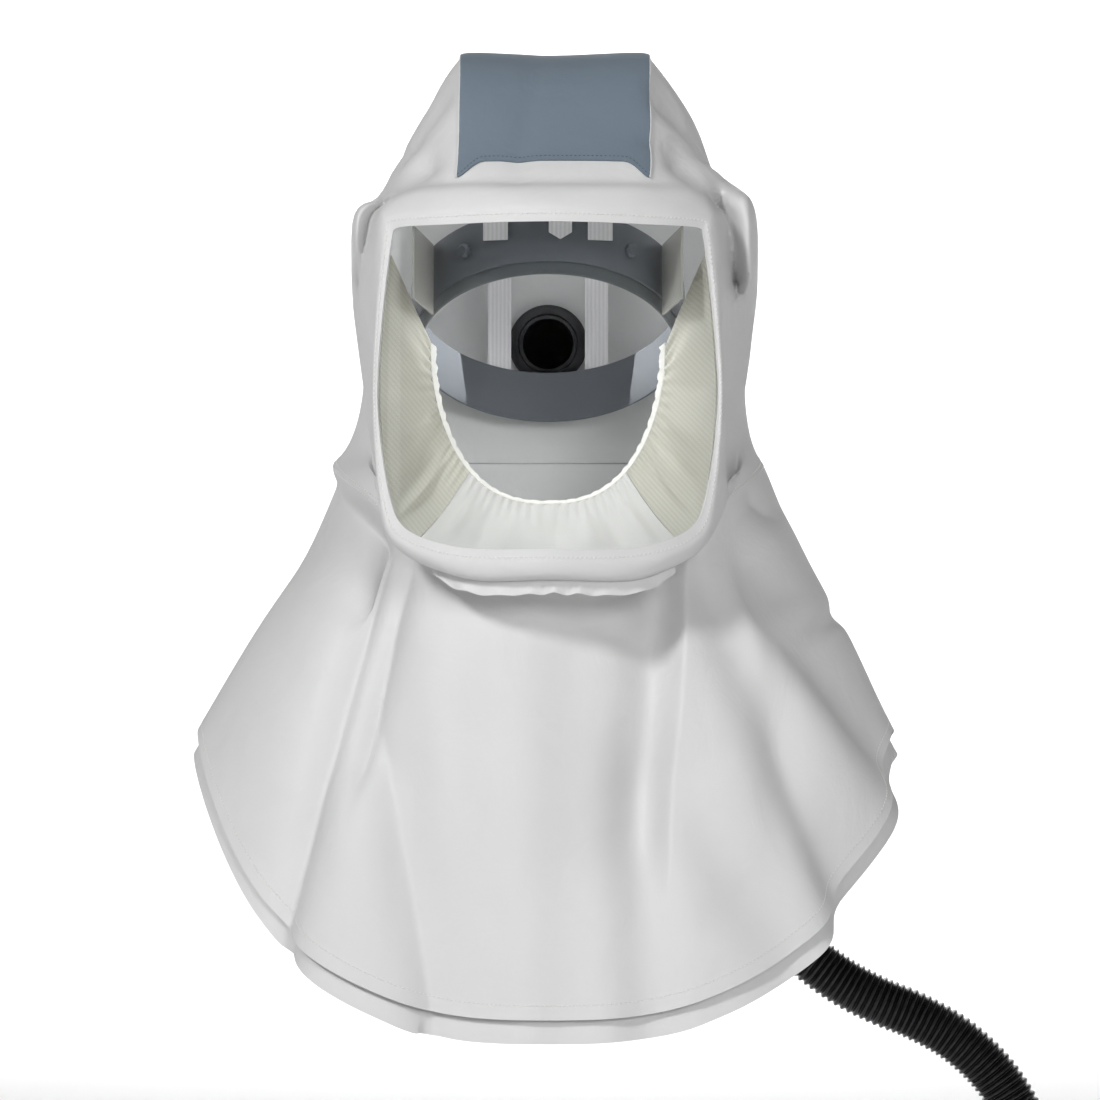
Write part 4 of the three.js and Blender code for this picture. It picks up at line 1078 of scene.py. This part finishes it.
def frill():
    """The gathered edge that hangs under the chin roll."""
    columns = FRILL_WAVES * COLUMNS_PER_WAVE + 1
    reach = FRILL_HALF_WIDTH / HOOD_HALF_WIDTH * FRILL_SPREAD
    s = np.linspace(-1, 1, columns)
    seat = hood_grid(0.5 - s * reach, [FRILL_SEAT])[0]
    wave = np.cos(s * FRILL_WAVES * math.pi + 0.9 * np.sin(5 * s)) * (0.65 + 0.35 * np.sin(7 * s + 1))
    rows = []
    for down in np.linspace(0, 1, FRILL_ROWS):
        row = seat.copy()
        row[:, 1] -= FRILL_DEPTH * wave * down
        row[:, 2] -= CLEAR * 2 + down * (FRILL_DROP - FRILL_DEPTH * (0.5 + 0.5 * wave)) * (1 - 0.5 * s**6)
        rows.append(row)
    grid = np.array(rows)
    n = np.zeros_like(grid)
    n[..., 1] = -1
    piece = wall_mesh("frill_knit", grid, LINING, False, COATED, n)
    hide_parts("chin_frill")


frill()

# Capes

CAPE_COLUMNS = 440
FRONT_FINER = 0.62
even_us = np.arange(CAPE_COLUMNS) / CAPE_COLUMNS
cape_us = even_us + FRONT_FINER * np.sin(TAU * even_us) / TAU
cape_vs = np.linspace(0, 1, 98)


cape_fade = smooth(cape_vs, 0.0, 0.1)  # no folds at the neck seam
outer = pressed(cape_grid(cape_us, cape_vs), CAPE_FOLDS, cape_fade, -SEAM_DROP, cape_height)
outer_normals = normals_of(outer)


def hung(node):
    """Hide the CAD model's cape piece of that name."""
    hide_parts(node)


def capes():
    """The outer cape, and the inner one that follows it from inside and hangs lower."""
    piece = wall_mesh("outer_cape_cloth", outer, FABRIC, True, COATED, outer_normals)
    hung("outer_cape")
    near = FABRIC + CAPE_LAYERS_CLEAR
    gap = near + (INNER_GAP - near) * np.minimum(cape_vs * 1.4, 1)
    grid = outer - outer_normals * gap[:, None, None]
    down = grid[-1] - grid[-2]
    down /= np.linalg.norm(down, axis=1, keepdims=True)
    longer = [grid[-1] + down * INNER_LONGER * share for share in (0.25, 0.5, 0.75, 1)]
    grid = np.concatenate([grid, longer])
    n = normals_of(grid)
    piece = wall_mesh("inner_cape_cloth", grid, LINING, True, COATED, n)
    hung("inner_cape")


capes()

# Stitching


def row_line(grid, normals, row):
    """The line and the normals of one row of a closed grid, for stitches."""
    line, n = grid[row], normals[row]
    return np.concatenate([line, line[:1]]), np.concatenate([n, n[:1]])


def stitching():
    """Stitches round the window's border, above the neck seam, and at the top and the hem of the outer cape."""
    hem = int(np.argmin(np.abs(hood_vs - RING_STEP * 0.5)))
    neck = int(np.argmin(np.abs(hood_vs - 0.985)))
    lines = [row_line(hood, hood_normals, hem), row_line(hood, hood_normals, neck)]
    stitch_mesh("hood_stitches", lines, radius=HOOD_STITCH_RADIUS, material=THREAD, **HEM_STITCH)
    lines = [row_line(outer, outer_normals, row) for row in (int(len(cape_vs) * 0.965), 1)]
    stitch_mesh("cape_stitches", lines, radius=CAPE_STITCH_RADIUS, material=THREAD, **HEM_STITCH)


stitching()

# Face seal


def face_edge(t):
    """The seal's edge on the face, from the wearer's right temple (-1) under the chin (0) to the left (1)."""
    angle = t * math.pi / 2
    x = FACE_HALF_WIDTH * np.sign(t) * np.abs(np.sin(angle)) ** 0.8
    rise = 1 - np.cos(angle)
    return np.stack([x, -between(FACE_FRONT, FACE_BACK, rise), -between(FACE_CHIN, FACE_TOP, rise)], -1)


SEAL_INSET = FABRIC + CLEAR * 5 + VISOR_WALL


def seal_grid(ts, ss):
    """The seal from the window (0) to the face (1), hanging a little slack between them."""
    x, z = outline(0.5 - SEAL_ENDS * ts, VISOR_LAP / 3)
    foot = window_points(x, z, SEAL_INSET)
    edge = face_edge(ts)
    grid = foot[None] + (edge - foot)[None] * ss[:, None, None]
    slack = np.sin(math.pi * ss)[:, None]
    grid[..., 1] += SEAL_SLACK * slack * 0.6
    grid[..., 2] -= SEAL_SLACK * slack * (1 - np.abs(ts))[None] * 0.4
    return grid


def pleats(grid, ts, ss, waves):
    """Soft pleats that run from the window to the face. Each wave is (t, width, depth in mm)."""
    n = normals_of(grid, False)
    rise = np.sin(math.pi * np.clip(ss * 1.15, 0, 1))[:, None]
    depth = sum(d * bell(ts - t, w) for t, w, d in waves)[None] * rise
    gathers = PLEAT_GATHER * np.sin(ts * 150)[None] * smooth(ss, 0.6, 1.0)[:, None]
    return grid + n * (depth + gathers)[..., None], n


SIDE_PLEATS = [(0.55, 0.03, 4), (0.62, 0.03, -3.5), (0.72, 0.035, 4.5), (0.82, 0.03, -3), (0.9, 0.03, 3)]
CHIN_PLEATS = [(-0.32, 0.03, 3), (-0.22, 0.03, -3), (-0.12, 0.035, 3.5), (0.02, 0.04, -3), (0.13, 0.03, 3),
               (0.22, 0.03, -3), (0.31, 0.03, 3)]


def seal_panel(name, node, material, start, end, waves):
    ts = np.linspace(start, end, SEAL_COLUMNS)
    ss = np.linspace(0, 1, SEAL_ROWS)
    grid, n = pleats(seal_grid(ts, ss), ts, ss, waves)
    piece = wall_mesh(name, grid, LINING, False, material, n)
    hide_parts(node)


def ruffle():
    """The seal's gathered elastic edge, in uneven waves."""
    ts = np.linspace(-1, 1, RUFFLE_COLUMNS)
    edge = face_edge(ts)
    inward = np.array([0, HEAD_HALF_DEPTH * 0.3, -(FACE_TOP + FACE_CHIN) / 2]) - edge
    inward /= np.linalg.norm(inward, axis=1, keepdims=True)
    rows = []
    for s in np.linspace(0, 1, RUFFLE_ROWS):
        wave = np.sin(ts * 95) + 0.5 * np.sin(ts * 151 + 1) + 0.3 * np.sin(ts * 247 + 2)
        row = edge + inward * (CLEAR + LINING / 2 + RUFFLE_WIDTH * s * 0.5 + 0.5 * wave * s)[:, None]
        row[:, 1] += RUFFLE_WIDTH * s * 0.8 + wave * s * RUFFLE_WALL * 0.9
        rows.append(row)
    grid = np.array(rows)
    piece = wall_mesh("ruffle_knit", grid, RUFFLE_WALL * 0.6, False, TRIM, normals_of(grid, False))
    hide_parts("seal_ruffle")


gap = CLEAR / FACE_HALF_WIDTH
mirror_pleats = [(-t, w, d) for t, w, d in SIDE_PLEATS]
seal_panel("seal_twill_left", "seal_side_left", TWILL, SEAL_SHARE + gap, 1, SIDE_PLEATS)
seal_panel("seal_twill_right", "seal_side_right", TWILL, -1, -SEAL_SHARE - gap, mirror_pleats)
seal_panel("seal_mesh", "seal_chin", MESH, -SEAL_SHARE, SEAL_SHARE, CHIN_PLEATS)
ruffle()

# Head harness


def band_points(angle, up, out):
    """A point of the head's ring at an angle from the brow, lower at the back."""
    tilt = BAND_TILT * (1 - np.cos(angle)) / 2
    x = (HEAD_HALF_WIDTH + out) * np.sin(angle)
    y = -(HEAD_HALF_DEPTH + out) * np.cos(angle)
    return np.stack([x, y, up - BAND_DROP - tilt + 0 * x], -1)


def band_loop(name, node, material, angles, profile, closed):
    """A strip round the head whose section is a closed profile of (up, out) pairs."""
    rings = np.array([band_points(angles, up, out) for up, out in profile])
    rings = np.concatenate([rings, rings[:1]])
    count, columns = rings.shape[:2]
    faces = ring_faces(count, columns, closed)
    if not closed:
        faces.append(tuple(j * columns for j in range(count - 1)))
        faces.append(tuple((j + 1) * columns - 1 for j in range(count - 1))[::-1])
    points = rings[:-1].reshape(-1, 3)
    total = len(points)
    faces = [tuple(k % total for k in face) for face in faces]
    piece = body_mesh(name, points, faces, material)
    face_out(piece)
    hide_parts(node)
    return piece


def rounded(low, high, inner, outer, steps=5):
    """A profile with rounded ends: up from low to high, out from inner to outer."""
    r = (outer - inner) / 2
    middle = (outer + inner) / 2
    ends = []
    for centre, turn in ((high - r, 0.0), (low + r, math.pi)):
        for a in np.linspace(0, math.pi, steps):
            ends.append((centre + r * math.sin(a + turn), middle + r * math.cos(a + turn)))
    return ends


def harness():
    """The band all round the head and the pad at its brow."""
    around = np.arange(BAND_COLUMNS) * TAU / BAND_COLUMNS
    band = rounded(0, BAND_HEIGHT, 0, BAND_WALL)
    band_loop("band_moulding", "headband", BAND, around, band, True)
    front = np.linspace(-SWEATBAND_ANGLE, SWEATBAND_ANGLE, PAD_COLUMNS)
    pad = rounded(-SWEATBAND_SHOWS, SWEATBAND_HEIGHT - SWEATBAND_SHOWS, -CLEAR - SWEATBAND_WALL, -CLEAR)
    band_loop("sweatband_pad", "sweatband", PAD, front, pad, False)


harness()

# Materials of the CAD model's pieces that stay
DRESSED = {
    WEBBING: ("crown_strap_left", "crown_strap_right", "band_tab"),
    LUG: ("window_lug_left", "window_lug_right"),
    BAND: ("band_stud_left", "band_stud_right"),
    PORT: ("hose_plug",),
}
for material, nodes in DRESSED.items():
    for node in nodes:
        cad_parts[node].data.materials.clear()
        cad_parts[node].data.materials.append(material)

# Hose port and cuff


def fitting(piece, node):
    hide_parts(node)


def port():
    """The collar through the hood's back, its nut on the inside, the elbow down and the hose's cuff."""
    centre = (0, PORT_Y, -PORT_DROP)
    back = (0, 1, 0)
    r, wide = PORT_RADIUS, PORT_FLANGE_RADIUS
    bore = r - PORT_WALL
    seat = CLEAR * 2
    top = seat + PORT_FLANGE
    tail = -FABRIC - CLEAR - NUT_HEIGHT - PORT_SLACK
    profile = [
        (bore, tail), (r - 0.6, tail), (r, tail + 0.6), (r, seat), (wide - MOULD_EDGE, seat),
        (wide, seat + MOULD_EDGE), (wide, top - 1), (wide - 1, top), (bore, top),
    ]
    fitting(turned_mesh("port_collar_moulding", profile, centre, back, PORT), "port_collar")

    wide, inside, outside = NUT_RADIUS, -FABRIC - PORT_SLACK - NUT_HEIGHT, -FABRIC - PORT_SLACK
    profile = [
        (r + CLEAR, inside), (wide - 1, inside), (wide, inside + 1), (wide, outside - 1), (wide - 1, outside),
        (r + CLEAR, outside),
    ]
    fitting(turned_mesh("port_nut_moulding", profile, centre, back, PORT), "port_nut")

    start = PORT_Y + PORT_FLANGE + CLEAR * 3
    end = start + ELBOW_BEND + r * ELBOW_STRAIGHT / 2
    foot = -PORT_DROP - ELBOW_BEND - r * ELBOW_STRAIGHT
    path = [(0, start, -PORT_DROP)]
    for a in np.linspace(0, math.pi / 2, ELBOW_ROWS):
        path.append((0, end - ELBOW_BEND * (1 - math.sin(a)), -PORT_DROP - ELBOW_BEND * (1 - math.cos(a))))
    path.append((0, end, foot))
    piece = tube_mesh("port_elbow_moulding", path, np.full(len(path), float(r)), 64, PORT, PORT_WALL)
    fitting(piece, "port_elbow")

    length, wide, neck = CUFF_LENGTH, CUFF_RADIUS, HOSE_DIAMETER / 2
    waist = wide - MOULD_EDGE
    profile = [
        (0, 0), (waist, 0), (wide, MOULD_EDGE), (wide, length * 0.2), (waist, length * 0.23),
        (waist, length * 0.27), (wide, length * 0.3), (wide, length * 0.48),
        (neck + MOULD_EDGE, length - 2), (neck, length), (0, length),
    ]
    piece = turned_mesh("hose_cuff_moulding", profile, (0, end, foot - CLEAR), (0, 0, -1), RUBBER)
    fitting(piece, "hose_cuff")


port()
